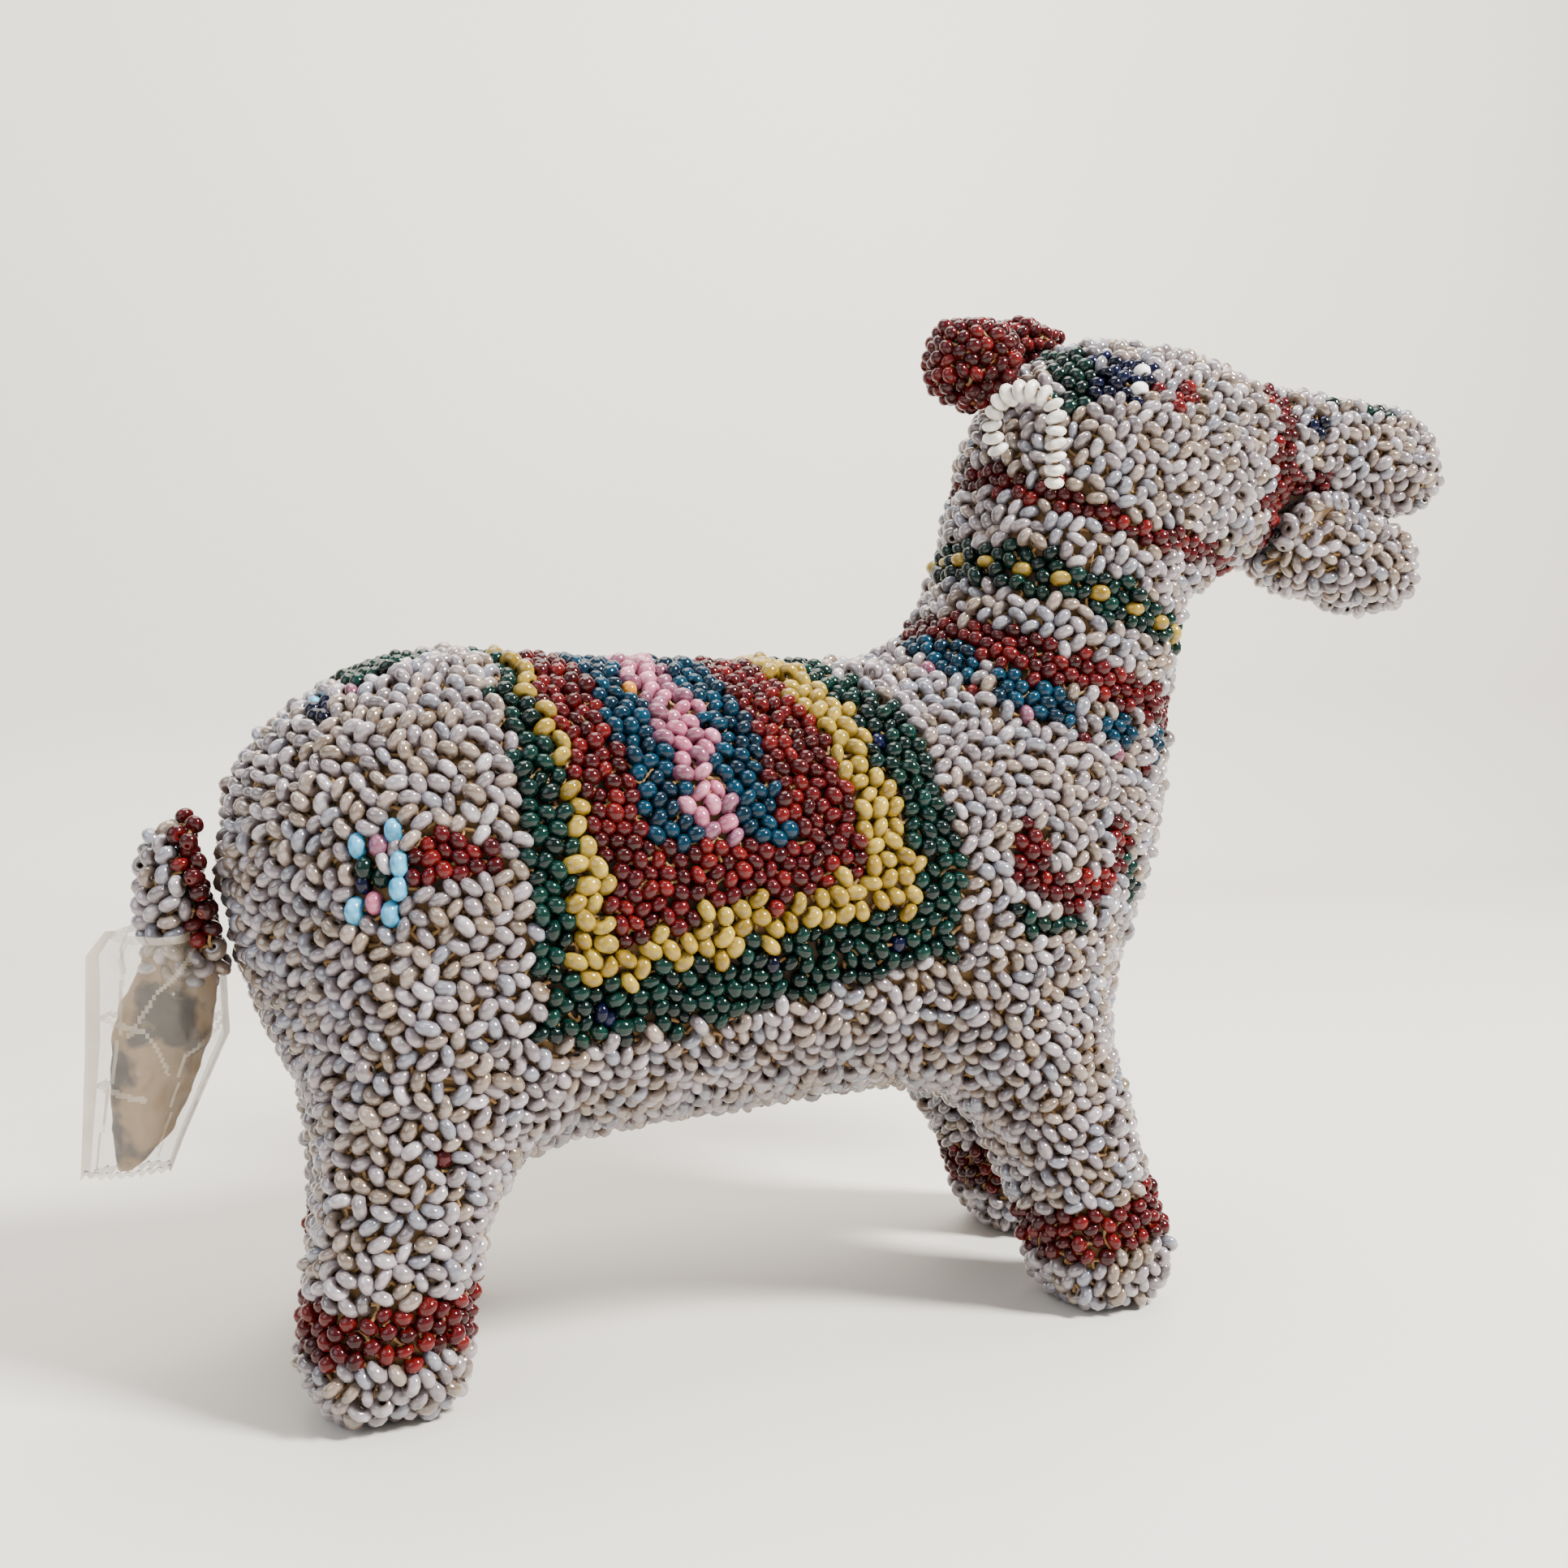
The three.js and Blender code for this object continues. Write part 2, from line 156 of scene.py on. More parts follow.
def paint_colour(tree):
    return blend(tree, cloud(tree, 9.0), linear("#CFCAC3"), linear("#D5D1CA"))


shelf_mesh.materials.append(
    finish_named("pale shelf paint", paint_colour, lambda tree: {"Roughness": 0.55})
)


LIT_HEIGHT = 45 * MM


def window(name, place, size, watts, tint):
    lamp = bpy.data.lights.new(name, "AREA")
    lamp.shape = "RECTANGLE"
    lamp.size, lamp.size_y = size
    lamp.energy = watts
    lamp.color = linear(tint)[:3]
    holder = bpy.data.objects.new(name, lamp)
    holder.location = Vector(place) * MM
    holder.rotation_euler = (Vector((0, 0, LIT_HEIGHT)) - holder.location).to_track_quat("-Z", "Y").to_euler()
    bpy.context.scene.collection.objects.link(holder)


window("window_right", (330, -330, 520), (0.13, 0.16), 17.0, "#FFFDF8")
window("sky_left", (-520, -260, 420), (0.50, 0.50), 2.4, "#EAF1FF")
window("ceiling", (0, 120, 700), (0.45, 0.45), 6.0, "#FFFAF2")
world = bpy.data.worlds.new("room")
world.use_nodes = True
world.node_tree.nodes["Background"].inputs["Color"].default_value = linear("#F1F0EE")
world.node_tree.nodes["Background"].inputs["Strength"].default_value = 0.6
bpy.context.scene.world = world

# %% [markdown]
# ## A smooth skin round the frame
# The bead net follows a soft, rounded form. The frame's nodes are cut apart where the colours change, so
# their meshes are swollen a little until the cuts close, filled as one volume and smoothed. Smoothing
# forwards and then back by slightly more keeps the form from shrinking.


# %% Skin builder
SWELL = 0.45 * MM
SMOOTHING_ROUNDS = 25
SMOOTHING_SHARES = (0.5, -0.53)


def neighbour_mean(values, edges, degree):
    """For each point, the mean of `values` over the points that share an edge with it."""
    total = np.empty_like(values)
    for axis in range(3):
        total[:, axis] = np.bincount(edges[:, 0], values[edges[:, 1], axis], len(values))
        total[:, axis] += np.bincount(edges[:, 1], values[edges[:, 0], axis], len(values))
    return total / degree[:, None]


def normals_of(points, faces):
    """Smooth normals at the points of a mesh of quads or triangles."""
    across = np.cross(points[faces[:, 2]] - points[faces[:, 0]], points[faces[:, -1]] - points[faces[:, 1]])
    total = np.zeros_like(points)
    for corner in range(faces.shape[1]):
        np.add.at(total, faces[:, corner], across)
    return total / np.maximum(np.linalg.norm(total, axis=1), 1e-12)[:, None]


def largest_shell(points, faces):
    """The mesh without the small bubbles that lie inside it."""
    label = np.arange(len(points))
    while True:
        low = label[faces].min(1)
        fresh = label.copy()
        for corner in range(faces.shape[1]):
            np.minimum.at(fresh, faces[:, corner], low)
        fresh = fresh[fresh]
        if np.array_equal(fresh, label):
            break
        label = fresh
    main = np.bincount(label).argmax()
    kept = np.flatnonzero(label == main)
    renumber = np.full(len(points), -1)
    renumber[kept] = np.arange(len(kept))
    return points[kept], renumber[faces[label[faces[:, 0]] == main]]


def skin_of(nodes, voxel):
    """(points, quads, normals) of one smooth closed skin round these nodes of the frame."""
    form = bmesh.new()
    for name in nodes:
        form.from_mesh(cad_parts[name].data)
    bmesh.ops.remove_doubles(form, verts=form.verts, dist=0.002 * MM)
    bmesh.ops.recalc_face_normals(form, faces=form.faces)
    form.normal_update()
    for v in form.verts:
        v.co += v.normal * SWELL
    mesh = bpy.data.meshes.new("swollen")
    form.to_mesh(mesh)
    form.free()
    holder = bpy.data.objects.new("swollen", mesh)
    bpy.context.scene.collection.objects.link(holder)
    remesh = holder.modifiers.new("fill", "REMESH")
    remesh.mode = "VOXEL"
    remesh.voxel_size = voxel
    filled = holder.evaluated_get(bpy.context.evaluated_depsgraph_get()).to_mesh()
    points = np.empty(len(filled.vertices) * 3)
    filled.vertices.foreach_get("co", points)
    faces = np.empty(len(filled.loops), int)
    filled.loops.foreach_get("vertex_index", faces)
    points, faces = largest_shell(points.reshape(-1, 3), faces.reshape(-1, 4))
    bpy.data.objects.remove(holder)
    bpy.data.meshes.remove(mesh)
    edges = np.vstack([faces[:, [0, 1]], faces[:, [1, 2]], faces[:, [2, 3]], faces[:, [3, 0]]])
    edges = np.unique(np.sort(edges, axis=1), axis=0)
    degree = np.bincount(edges.ravel(), minlength=len(points)).astype(float)
    for _ in range(SMOOTHING_ROUNDS):
        for share in SMOOTHING_SHARES:
            points = points + share * (neighbour_mean(points, edges, degree) - points)
    normals = normals_of(points, faces)
    return points - normals * SWELL, faces, normals


# %% [markdown]
# ## The five forms that carry beads
# The torso, neck, head and legs are one form. The lower jaw, the two ball ears and the tail are each
# their own forms, so each has its own skin. The beds below them are where the beads' middles lie, a
# little less than half a bead under the skin.

# %% Skins and beds
BED_DEPTH = 0.95 * MM
SEWN_ON = ("jaw", "ear_right", "ear_left", "tail")
every_node = sorted(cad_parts)
NOT_BEDS = {"tail_tape", "bead_loop_left", "bead_loop_right"}
bed_nodes = [n for n in every_node if n not in NOT_BEDS]
members = {part: [n for n in bed_nodes if n.startswith(part + "_")] for part in SEWN_ON}
members["body"] = [n for n in bed_nodes if not n.startswith(tuple(f"{part}_" for part in SEWN_ON))]
VOXEL = {"body": 0.85 * MM, "jaw": 0.6 * MM, "ear_right": 0.6 * MM, "ear_left": 0.6 * MM, "tail": 0.5 * MM}
skins = {}
beds = {}
for part, names in members.items():
    points, faces, normals = skin_of(names, VOXEL[part])
    skins[part] = (points, faces, normals)
    bed_points = points - normals * BED_DEPTH
    beds[part] = (bed_points, faces, BVHTree.FromPolygons(bed_points.tolist(), faces.tolist()))
    print("skin:", part, len(names), "nodes,", len(faces), "faces")

# %% [markdown]
# ## The bead box
# Each kind is a ring of glass: its diameter and its length along the hole in millimetres, and its tones.
# The plain pearl beads, the yellow, rose, sky and white ones are larger, and the deep colours are finer.

# %% Bead kinds
KINDS = {
    "pearl": (2.4, 1.52, ["#776D71", "#83797E", "#675E61", "#7C6D64", "#6F6F79", "#928A8E", "#6F5F51"]),
    "ruby": (1.95, 1.6, ["#35060A", "#42080B", "#2A0405", "#520C0C", "#3A070A"]),
    "pine": (2.15, 1.7, ["#031B17", "#02120F", "#04221C", "#031C15"]),
    "yellow": (2.45, 1.75, ["#826A1F", "#8F782B", "#775F18", "#877026"]),
    "petrol": (2.05, 1.7, ["#052131", "#041927", "#07293B"]),
    "navy": (2.0, 1.6, ["#050820", "#080D2A", "#040617"]),
    "rose": (2.35, 1.7, ["#9C586E", "#AC6B80", "#67394A", "#724457", "#985268"]),
    "sky": (2.5, 1.75, ["#4898BE", "#52A2C6"]),
    "white": (2.4, 1.3, ["#D6D1C8", "#CFC9BE", "#DBD7D0"]),
    "eye_white": (2.1, 1.6, ["#F0EDE8"]),
    "amber": (2.1, 1.6, ["#A8660A"]),
}
NAMES = list(KINDS)
DIAMETER = np.array([KINDS[k][0] for k in NAMES]) * MM
LENGTH = np.array([KINDS[k][1] for k in NAMES]) * MM
print("bead kinds:", ", ".join(f"{k} {v[0]} mm" for k, v in KINDS.items()))

# %% [markdown]
# ## The saddle blanket's edges
# The blanket is drawn in the net over the barrel of the body. Its edges run down the flank, so each is
# given as a place along the animal at a few angles round the barrel, counted from the spine. The hems
# rise slowly towards the head.

# %% Blanket lines
BARREL_HEIGHT = 50.5
TURNS = (0, 20, 45, 60, 80, 95, 120)
EDGES = {
    "cloth_hind": (-43.0, -42.0, -41.6, -41.2, -41.2, -41.3, -40.2),
    "yellow_hind": (-40.6, -40.1, -38.7, -38.0, -36.9, -36.6, -36.6),
    "field_hind": (-38.9, -38.5, -37.4, -36.7, -34.5, -33.8, -33.6),
    "stripes_hind": (-33.4, -32.7, -31.8, -31.0, -29.1, -29.1, -29.1),
    "rose_hind": (-28.9, -28.5, -27.1, -26.1, -24.0, -24.0, -24.0),
    "rose_front": (-23.9, -23.4, -21.9, -21.2, -19.6, -19.6, -19.6),
    "stripes_front": (-20.0, -19.2, -16.9, -16.4, -15.1, -15.1, -15.1),
    "field_front": (-13.4, -12.6, -10.0, -9.5, -7.2, -6.9, -6.9),
    "yellow_front": (-9.8, -7.8, -5.4, -4.4, -2.2, -1.8, -1.8),
    "cloth_front": (-6.0, -3.4, 0.6, 1.8, 3.0, 3.5, 3.7),
}
STRIPE_END = {"petrol": 81, "rose": 82}
HEM_TEETH = (0.8, 4.8)
SIDE_TEETH = (0.55, 13.0)
# Each hem's lowest height, where it starts to rise, and how fast.
HEMS = {"cloth": (35.2, -27, 0.19), "yellow": (40.2, -36, 0.18), "field": (44.7, -33, 0.18)}
STRIPE_FOOT = 44
BLANKET_TOP = 76


def teeth(place, height, period):
    """A zigzag of this height and period, as the stepped rows of a net make it."""
    return height * (4 * np.abs((place / period) % 1 - 0.5) - 1)


def hem(x, low, start, rise):
    return low + rise * np.maximum(x - start, 0) + teeth(x, *HEM_TEETH)


def paint_blanket(kind, x, side, z):
    """Lays the blanket's colours over `kind` where points lie inside its edges."""
    turn = np.degrees(np.arctan2(side, z - BARREL_HEIGHT))
    zigzag = teeth(turn, *SIDE_TEETH)
    edge = {name: np.interp(turn, TURNS, places) + zigzag for name, places in EDGES.items()}

    def within(hind, front, low):
        return (x > edge[hind]) & (x < edge[front]) & (z > low) & (z < BLANKET_TOP)

    for cloth, colour in (("cloth", "pine"), ("yellow", "yellow"), ("field", "ruby")):
        kind[within(f"{cloth}_hind", f"{cloth}_front", hem(x, *HEMS[cloth]))] = NAMES.index(colour)
    for stripe, colour in (("stripes", "petrol"), ("rose", "rose")):
        inside = within(f"{stripe}_hind", f"{stripe}_front", STRIPE_FOOT)
        kind[inside & (turn < STRIPE_END[colour])] = NAMES.index(colour)


# %% [markdown]
# ## Motifs on the flank, neck and head
# The small motifs are drawn as short thick strokes seen from the side, the same on both flanks. Rings
# round the neck are planes that slope down to the front.

# %% Motif strokes
RING_SLOPE = math.radians(20)
WIDE_BAND = (70.1, 74.2)
COLLAR = (79.0, 83.3)
THROAT_LINE = ([8, 13.7, 18.6, 24.2, 29.6, 38.3, 49, 56], [91.6, 90.7, 88.6, 86.3, 84.2, 83.4, 81.4, 79.5])
THROAT_HALF = 1.35
THROAT_TEETH = (0.5, 5.0)
THROAT_SPAN = (8, 56)
NECK_SPAN = (-2, 46)
NECK_FOOT = 58
# Below the back's height, strokes stay this far from the middle, so that none cross the underside.
STROKE_MIDDLE_ROOM = 3
BACK_HEIGHT = 68
# Kind, half width, and the stroke's points as place along the animal and height.
STROKES = [
    ("ruby", 2.6, [(-49.3, 52.8), (-47.9, 52.7)]),
    ("ruby", 1.2, [(-51.4, 52.8), (-44.9, 52.7)]),
    ("ruby", 1.9, [(12.2, 52.2), (10.7, 50.2), (12.2, 47.6), (16, 46.2), (20, 46.8), (22.6, 49),
                   (23.6, 52.6)]),
    ("pine", 1.1, [(10.2, 44.3), (13.8, 42.7), (17.6, 43.1)]),
    ("pine", 1.0, [(25.7, 48.6), (26.9, 45.8)]),
    ("petrol", 2.0, [(7.6, 71.4), (9.0, 70.8)]),
    ("petrol", 2.0, [(13.2, 67.2), (16.6, 66.2)]),
    ("petrol", 2.0, [(23.4, 63.2), (25.6, 62.6)]),
    ("petrol", 1.6, [(30.6, 61.8), (31.2, 61.4)]),
    ("navy", 1.1, [(-57.8, 65.7), (-57.0, 66.6)]),
    ("pine", 1.1, [(-55.5, 68.6), (-51.5, 70.2), (-48, 71.2)]),
    ("navy", 1.5, [(25.4, 100.4), (28.2, 101.2), (31.4, 102.4)]),
    ("navy", 1.2, [(27.6, 103.2), (28.4, 98.8)]),
    ("ruby", 1.2, [(34.6, 99.2), (36.4, 100.6)]),
    ("pine", 1.3, [(24.4, 104.8), (23.2, 101.2), (21.9, 98.4)]),
    ("navy", 1.2, [(56.8, 97.2), (58.6, 98.9)]),
    ("pine", 1.0, [(62.4, 101.8), (63.2, 102)]),
    ("pine", 1.0, [(66.6, 101.5), (70, 100.7)]),
    ("ruby", 1.5, [(49.2, 89.2), (53, 91.0), (59.4, 91.6)]),
    ("ruby", 1.9, [(52.4, 105), (51.8, 97), (50.4, 90)]),
]
RUBY_NODES = ("_band", "tail_ring", "noseband")


def off_stroke(x, z, stroke):
    """Distance from each point to a stroke of straight runs, seen from the side."""
    nearest = np.full(len(x), 1e3)
    for (ax, az), (bx, bz) in zip(stroke, stroke[1:]):
        run = np.array([bx - ax, bz - az])
        t = np.clip(((x - ax) * run[0] + (z - az) * run[1]) / (run @ run), 0, 1)
        nearest = np.minimum(nearest, np.hypot(x - ax - t * run[0], z - az - t * run[1]))
    return nearest


def kinds_at(points, part):
    """Which kind of bead the pattern asks for at each point, from its place and its part."""
    x, y, z = (points / MM).T
    side = np.abs(y)
    kind = np.full(len(points), NAMES.index("pearl"))
    if part.startswith("ear"):
        kind[:] = NAMES.index("ruby")
        return kind
    if part in ("jaw", "tail"):
        return kind
    ring = x * math.sin(RING_SLOPE) + z * math.cos(RING_SLOPE)
    neck = (x > NECK_SPAN[0]) & (x < NECK_SPAN[1]) & (z > NECK_FOOT)
    paint_blanket(kind, x, side, z)
    kind[neck & (ring > WIDE_BAND[0]) & (ring < WIDE_BAND[1])] = NAMES.index("ruby")
    kind[neck & (ring > COLLAR[0]) & (ring < COLLAR[1])] = NAMES.index("pine")
    throat = np.abs(z - np.interp(x, *THROAT_LINE) - teeth(x, *THROAT_TEETH)) < THROAT_HALF
    kind[throat & (x > THROAT_SPAN[0]) & (x < THROAT_SPAN[1])] = NAMES.index("ruby")
    for name, half_width, stroke in STROKES:
        near = off_stroke(x, z, stroke) < half_width
        kind[near & ((side > STROKE_MIDDLE_ROOM) | (z > BACK_HEIGHT))] = NAMES.index(name)
    return kind


# %% [markdown]
# ## Beads that have a fixed place
# A few beads are single accents: the flower on the rump, the yellow row of the collar, the whites of the
# eye. They are set first and the rest settle round them. The left flank repeats the right one.

# %% Accent beads
FLANK_ACCENTS = [
    ("sky", -52.6, 55.3), ("sky", -55.5, 53.9), ("sky", -52.2, 52.4), ("sky", -52.3, 50.2),
    ("sky", -53.0, 47.9), ("sky", -55.9, 48.1), ("rose", -53.9, 54.0), ("rose", -54.4, 48.9),
    ("pine", -55.0, 52.0), ("navy", -55.2, 50.6), ("pine", -53.8, 51.2),
    ("rose", 5.9, 69.6), ("rose", 13.6, 64.9), ("rose", 24.1, 60.6),
    ("ruby", 8.9, 67.4), ("ruby", 19.5, 62.2), ("ruby", 28.7, 58.8), ("amber", -28.3, 67.6),
    ("navy", -34.0, 37.7), ("navy", -33.0, 36.9), ("navy", -17.0, 41.3), ("navy", -3.5, 42.4),
    ("navy", -3.6, 62.4), ("eye_white", 30.9, 102.3), ("eye_white", 29.6, 100.2), ("ruby", 32.2, 100.4),
    ("ruby", -48.8, 25.4),
]  # fmt: skip
SPINE_ACCENTS = [
    ("rose", -55.0, 6.6, 68.1), ("sky", -58.1, 3.7, 67.0), ("navy", -57.8, 8.3, 65.7),
    ("navy", -57.3, 6.2, 66.8), ("pine", -56.2, 4.2, 68.0),
]  # fmt: skip
COLLAR_MIDDLE = 81.1
COLLAR_BEADS = 20
NECK_AXIS = 25.3
OUTSIDE = 60


def accents_on(part):
    """The fixed beads of one form: place, and kind."""
    places = []
    kinds = []
    if part != "body":
        return np.empty((0, 3)), np.empty(0, int)
    tree = beds[part][2]
    for name, x, z in FLANK_ACCENTS:
        for side in (-1, 1):
            start = Vector((x, side * OUTSIDE, z)) * MM
            hit = tree.ray_cast(start, Vector((0, -side, 0)))[0]
            if hit is not None:
                places.append(hit)
                kinds.append(NAMES.index(name))
    for name, x, y, z in SPINE_ACCENTS:
        for side in (-1, 1):
            places.append(tree.find_nearest(Vector((x, side * y, z)) * MM)[0])
            kinds.append(NAMES.index(name))
    for n in range(COLLAR_BEADS):
        angle = (n + 0.5) / COLLAR_BEADS * 2 * math.pi
        height = (COLLAR_MIDDLE - NECK_AXIS * math.sin(RING_SLOPE)) / math.cos(RING_SLOPE)
        out = Vector((math.cos(angle), math.sin(angle), -math.tan(RING_SLOPE) * math.cos(angle)))
        hit = tree.ray_cast(Vector((NECK_AXIS, 0, height)) * MM, out)[0]
        if hit is not None:
            places.append(hit)
            kinds.append(NAMES.index("yellow"))
    return np.array(places, float), np.array(kinds)


# %% [markdown]
# ## Strewing and settling
# Beads are first strewn at random, each kept only if it leaves its neighbours their room. Then crowded
# beads push each other along the bed. A bead reaches further across its hole than along it, so the push
# depends on how the pair lie. The gaps that open are strewn again. The result is the close, slightly
# uneven lie of a hand-worked net.

# %% Strewing
ROOM = 0.69


def strewn(part, count):
    """`count` random points spread evenly over a bed."""
    points, faces, _ = beds[part]
    a, b, c, d = (points[faces[:, i]] for i in range(4))
    area = np.linalg.norm(np.cross(c - a, d - b), axis=1)
    face = chance.choice(len(faces), count, p=area / area.sum())
    u, v = chance.random((2, count, 1))
    top = a[face] * (1 - u) + b[face] * u
    bottom = d[face] * (1 - u) + c[face] * u
    return top * (1 - v) + bottom * v


def thinned(places, room, kept, kept_room):
    """Indices of the strewn places that leave every bead its room, taken in order."""
    cell = max(room.max(), kept_room.max() if len(kept_room) else 0)
    grid = {}
    for p, r in zip(kept.tolist(), kept_room.tolist()):
        grid.setdefault(tuple(int(v // cell) for v in p), []).append((*p, r))
    around = [(i, j, k) for i in (-1, 0, 1) for j in (-1, 0, 1) for k in (-1, 0, 1)]
    chosen = []
    for index, ((x, y, z), r) in enumerate(zip(places.tolist(), room.tolist())):
        cx, cy, cz = int(x // cell), int(y // cell), int(z // cell)
        free = True
        for i, j, k in around:
            for ox, oy, oz, other in grid.get((cx + i, cy + j, cz + k), ()):
                if (x - ox) ** 2 + (y - oy) ** 2 + (z - oz) ** 2 < ((r + other) / 2) ** 2:
                    free = False
                    break
            if not free:
                break
        if free:
            grid.setdefault((cx, cy, cz), []).append((x, y, z, r))
            chosen.append(index)
    return np.array(chosen, int)


# %% [markdown]
# Each hole lies along the net. In a hand-worked net the beads alternate between leaning one way and the
# other, so each axis is turned from the direction round the limb by about plus or minus 45 degrees.


# %% Settling
SNUG = 0.88
PUSH_SHARE = 0.38
NEIGHBOURS = 8
HOLE_LEAN = math.radians(45)
LEAN_SPREAD = math.radians(20)
LEG_HEIGHT = 19 * MM
NECK_HEIGHT = 74 * MM
NECK_FRONT = 34 * MM


def finder_of(places):
    """A search tree over places."""
    finder = KDTree(len(places))
    for index, p in enumerate(places.tolist()):
        finder.insert(p, index)
    finder.balance()
    return finder


def on_bed(part, places):
    """The nearest places on the bed, and the smooth normals there."""
    points, faces, tree = beds[part]
    normals = skins[part][2]
    found = [tree.find_nearest(Vector(p)) for p in places.tolist()]
    near = np.array([f[0] for f in found], float)
    across = normals[faces[[f[2] for f in found]]].mean(1)
    return near, across / np.linalg.norm(across, axis=1)[:, None]


def axes_at(part, places, normals, upright_holes):
    """Directions of the holes, in the bed's plane."""
    limb = np.zeros_like(places)
    x, _, z = places.T
    upright = (z < LEG_HEIGHT) | ((z > NECK_HEIGHT) & (x < NECK_FRONT))
    limb[:, 0] = ~upright
    limb[:, 2] = upright
    if part.startswith("ear"):
        limb[:] = (0, 0, 1)
    round_limb = np.cross(limb, normals) + 1e-6
    round_limb /= np.linalg.norm(round_limb, axis=1)[:, None]
    along_limb = np.cross(normals, round_limb)
    lean = chance.choice([-1, 1], len(places)) * HOLE_LEAN
    lean = lean + chance.normal(0, LEAN_SPREAD, len(places))
    lean = np.where(upright_holes, math.radians(90), lean)
    return round_limb * np.cos(lean)[:, None] + along_limb * np.sin(lean)[:, None]


def settled(part, places, axes, kinds, pinned, rounds):
    """Beads after pushing crowded neighbours apart along the bed."""
    half_length = LENGTH[kinds][:, None] / 2
    half_width = DIAMETER[kinds][:, None] / 2
    for _ in range(rounds):
        finder = finder_of(places)
        near = np.array([[hit[1] for hit in finder.find_n(p, NEIGHBOURS + 1)][1:] for p in places.tolist()])
        gap = places[:, None] - places[near]
        distance = np.maximum(np.linalg.norm(gap, axis=2), 1e-7)
        direction = gap / distance[..., None]
        own = (direction * axes[:, None]).sum(2) ** 2
        other = (direction * axes[near]).sum(2) ** 2
        reach = np.sqrt(half_length**2 * own + half_width**2 * (1 - own))
        reach += np.sqrt(half_length[near, 0] ** 2 * other + half_width[near, 0] ** 2 * (1 - other))
        push = np.maximum(SNUG * reach - distance, 0)[..., None] * direction
        places = places + np.where(pinned, 0, PUSH_SHARE)[:, None] * push.sum(1)
        places, normals = on_bed(part, places)
        axes = axes - (axes * normals).sum(1)[:, None] * normals
        axes /= np.linalg.norm(axes, axis=1)[:, None]
    return places, normals, axes


# %% [markdown]
# Each pass strews beads into the gaps that are left and settles them all, and each packs them a little
# closer than the last.

# %% All the beads
TRIES_PER_BEAD = 36
BEAD_ROOM_AREA = 3.3 * MM * MM
# Share of the full room that a new bead needs, and rounds of settling.
PASSES = ((1.0, 8), (0.98, 8), (0.96, 10))
laid = {}
for part in members:
    bed_points, bed_faces, _ = beds[part]
    corners = [bed_points[bed_faces[:, i]] for i in range(4)]
    area = np.linalg.norm(np.cross(corners[2] - corners[0], corners[3] - corners[1]), axis=1).sum() / 2
    tries = int(area / BEAD_ROOM_AREA * TRIES_PER_BEAD)
    places, kinds = accents_on(part)
    pinned = np.ones(len(places), bool)
    for share, rounds in PASSES:
        fresh = strewn(part, tries)
        fresh_kinds = kinds_at(fresh, part)
        size = ROOM * share * (DIAMETER + LENGTH) / 2
        chosen = thinned(fresh, size[fresh_kinds], places, size[kinds])
        places = np.vstack([places, fresh[chosen]])
        kinds = np.append(kinds, fresh_kinds[chosen])
        pinned = np.append(pinned, np.zeros(len(chosen), bool))
        places, normals = on_bed(part, places)
        axes = axes_at(part, places, normals, pinned)
        places, normals, axes = settled(part, places, axes, kinds, pinned, rounds)
    laid[part] = [places, normals, axes, kinds]
    print("beads laid:", part, len(places), "on", round(area / MM**2), "square mm")

# %% [markdown]
# ## Which beads belong to which piece
# Each bead goes with its form's net node that lies nearest, so the pieces here are cut where the frame's
# are. The tail's beads ride on the tail and all the others on the animal. Beads inside another form are
# left out, which takes a few of the body's, and so are the tail's beads below the end of its net, where
# the core is bare.

# %% Sorting the beads
NET_ENDINGS = ("_net", "_band", "_ring", "noseband")
INSIDE_LIMIT = 0.75 * MM
NEARBY = 6 * MM
net_nodes = [n for n in every_node if n.endswith(NET_ENDINGS)]


def part_of(node):
    return next((p for p in SEWN_ON if node.startswith(p + "_")), "body")


def nearest_net(part):
    """A search tree over one form's net nodes, and the net node of each of its faces."""
    points = []
    faces = []
    owner = []
    for index, name in enumerate(net_nodes):
        if part_of(name) == part:
            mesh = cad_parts[name].data
            start = len(points)
            points += [v.co.copy() for v in mesh.vertices]
            faces += [[start + v for v in polygon.vertices] for polygon in mesh.polygons]
            owner += [index] * len(mesh.polygons)
    return BVHTree.FromPolygons(points, faces), owner


def buried(point, part):
    """Whether a bead's middle lies inside, or all but inside, another form's bed."""
    for other, (_, faces, tree) in beds.items():
        if other == part:
            continue
        spot, _, face, distance = tree.find_nearest(point, NEARBY)
        if spot is None:
            continue
        outward = Vector(skins[other][2][faces[face]].mean(0))
        if distance < INSIDE_LIMIT or (point - spot).dot(outward) < 0:
            return True
    return False


TAIL_NET_END = 38.5 * MM
TAIL_RING_END = 43.5 * MM
owners = {}
for part, (places, normals, axes, kinds) in laid.items():
    spots = [Vector(p) for p in places.tolist()]
    shown = np.array([not buried(p, part) for p in spots])
    if part == "tail":
        shown &= places[:, 2] > TAIL_NET_END
    laid[part] = [a[shown] for a in (places, normals, axes, kinds)]
    outer = laid[part][0] + laid[part][1] * BED_DEPTH
    tree, owner = nearest_net(part)
    owners[part] = np.array([owner[tree.find_nearest(Vector(p))[2]] for p in outer.tolist()])
    for index, name in enumerate(net_nodes):
        if name.endswith(RUBY_NODES) and not name.startswith(("neck", "throat", "collar")):
            inside = (owners[part] == index) & (laid[part][3] == NAMES.index("pearl"))
            inside &= (part != "tail") | (laid[part][0][:, 2] > TAIL_RING_END)
            laid[part][3][inside] = NAMES.index("ruby")
total = sum(len(b[0]) for b in laid.values())
print("beads kept:", total)

# %% [markdown]
# ## One bead
# Each bead is a flattened ball with a straight hole through it, and gets a slightly different size, tilt
# and tone. How far a point lies from the rim to the hole is kept for the finish.

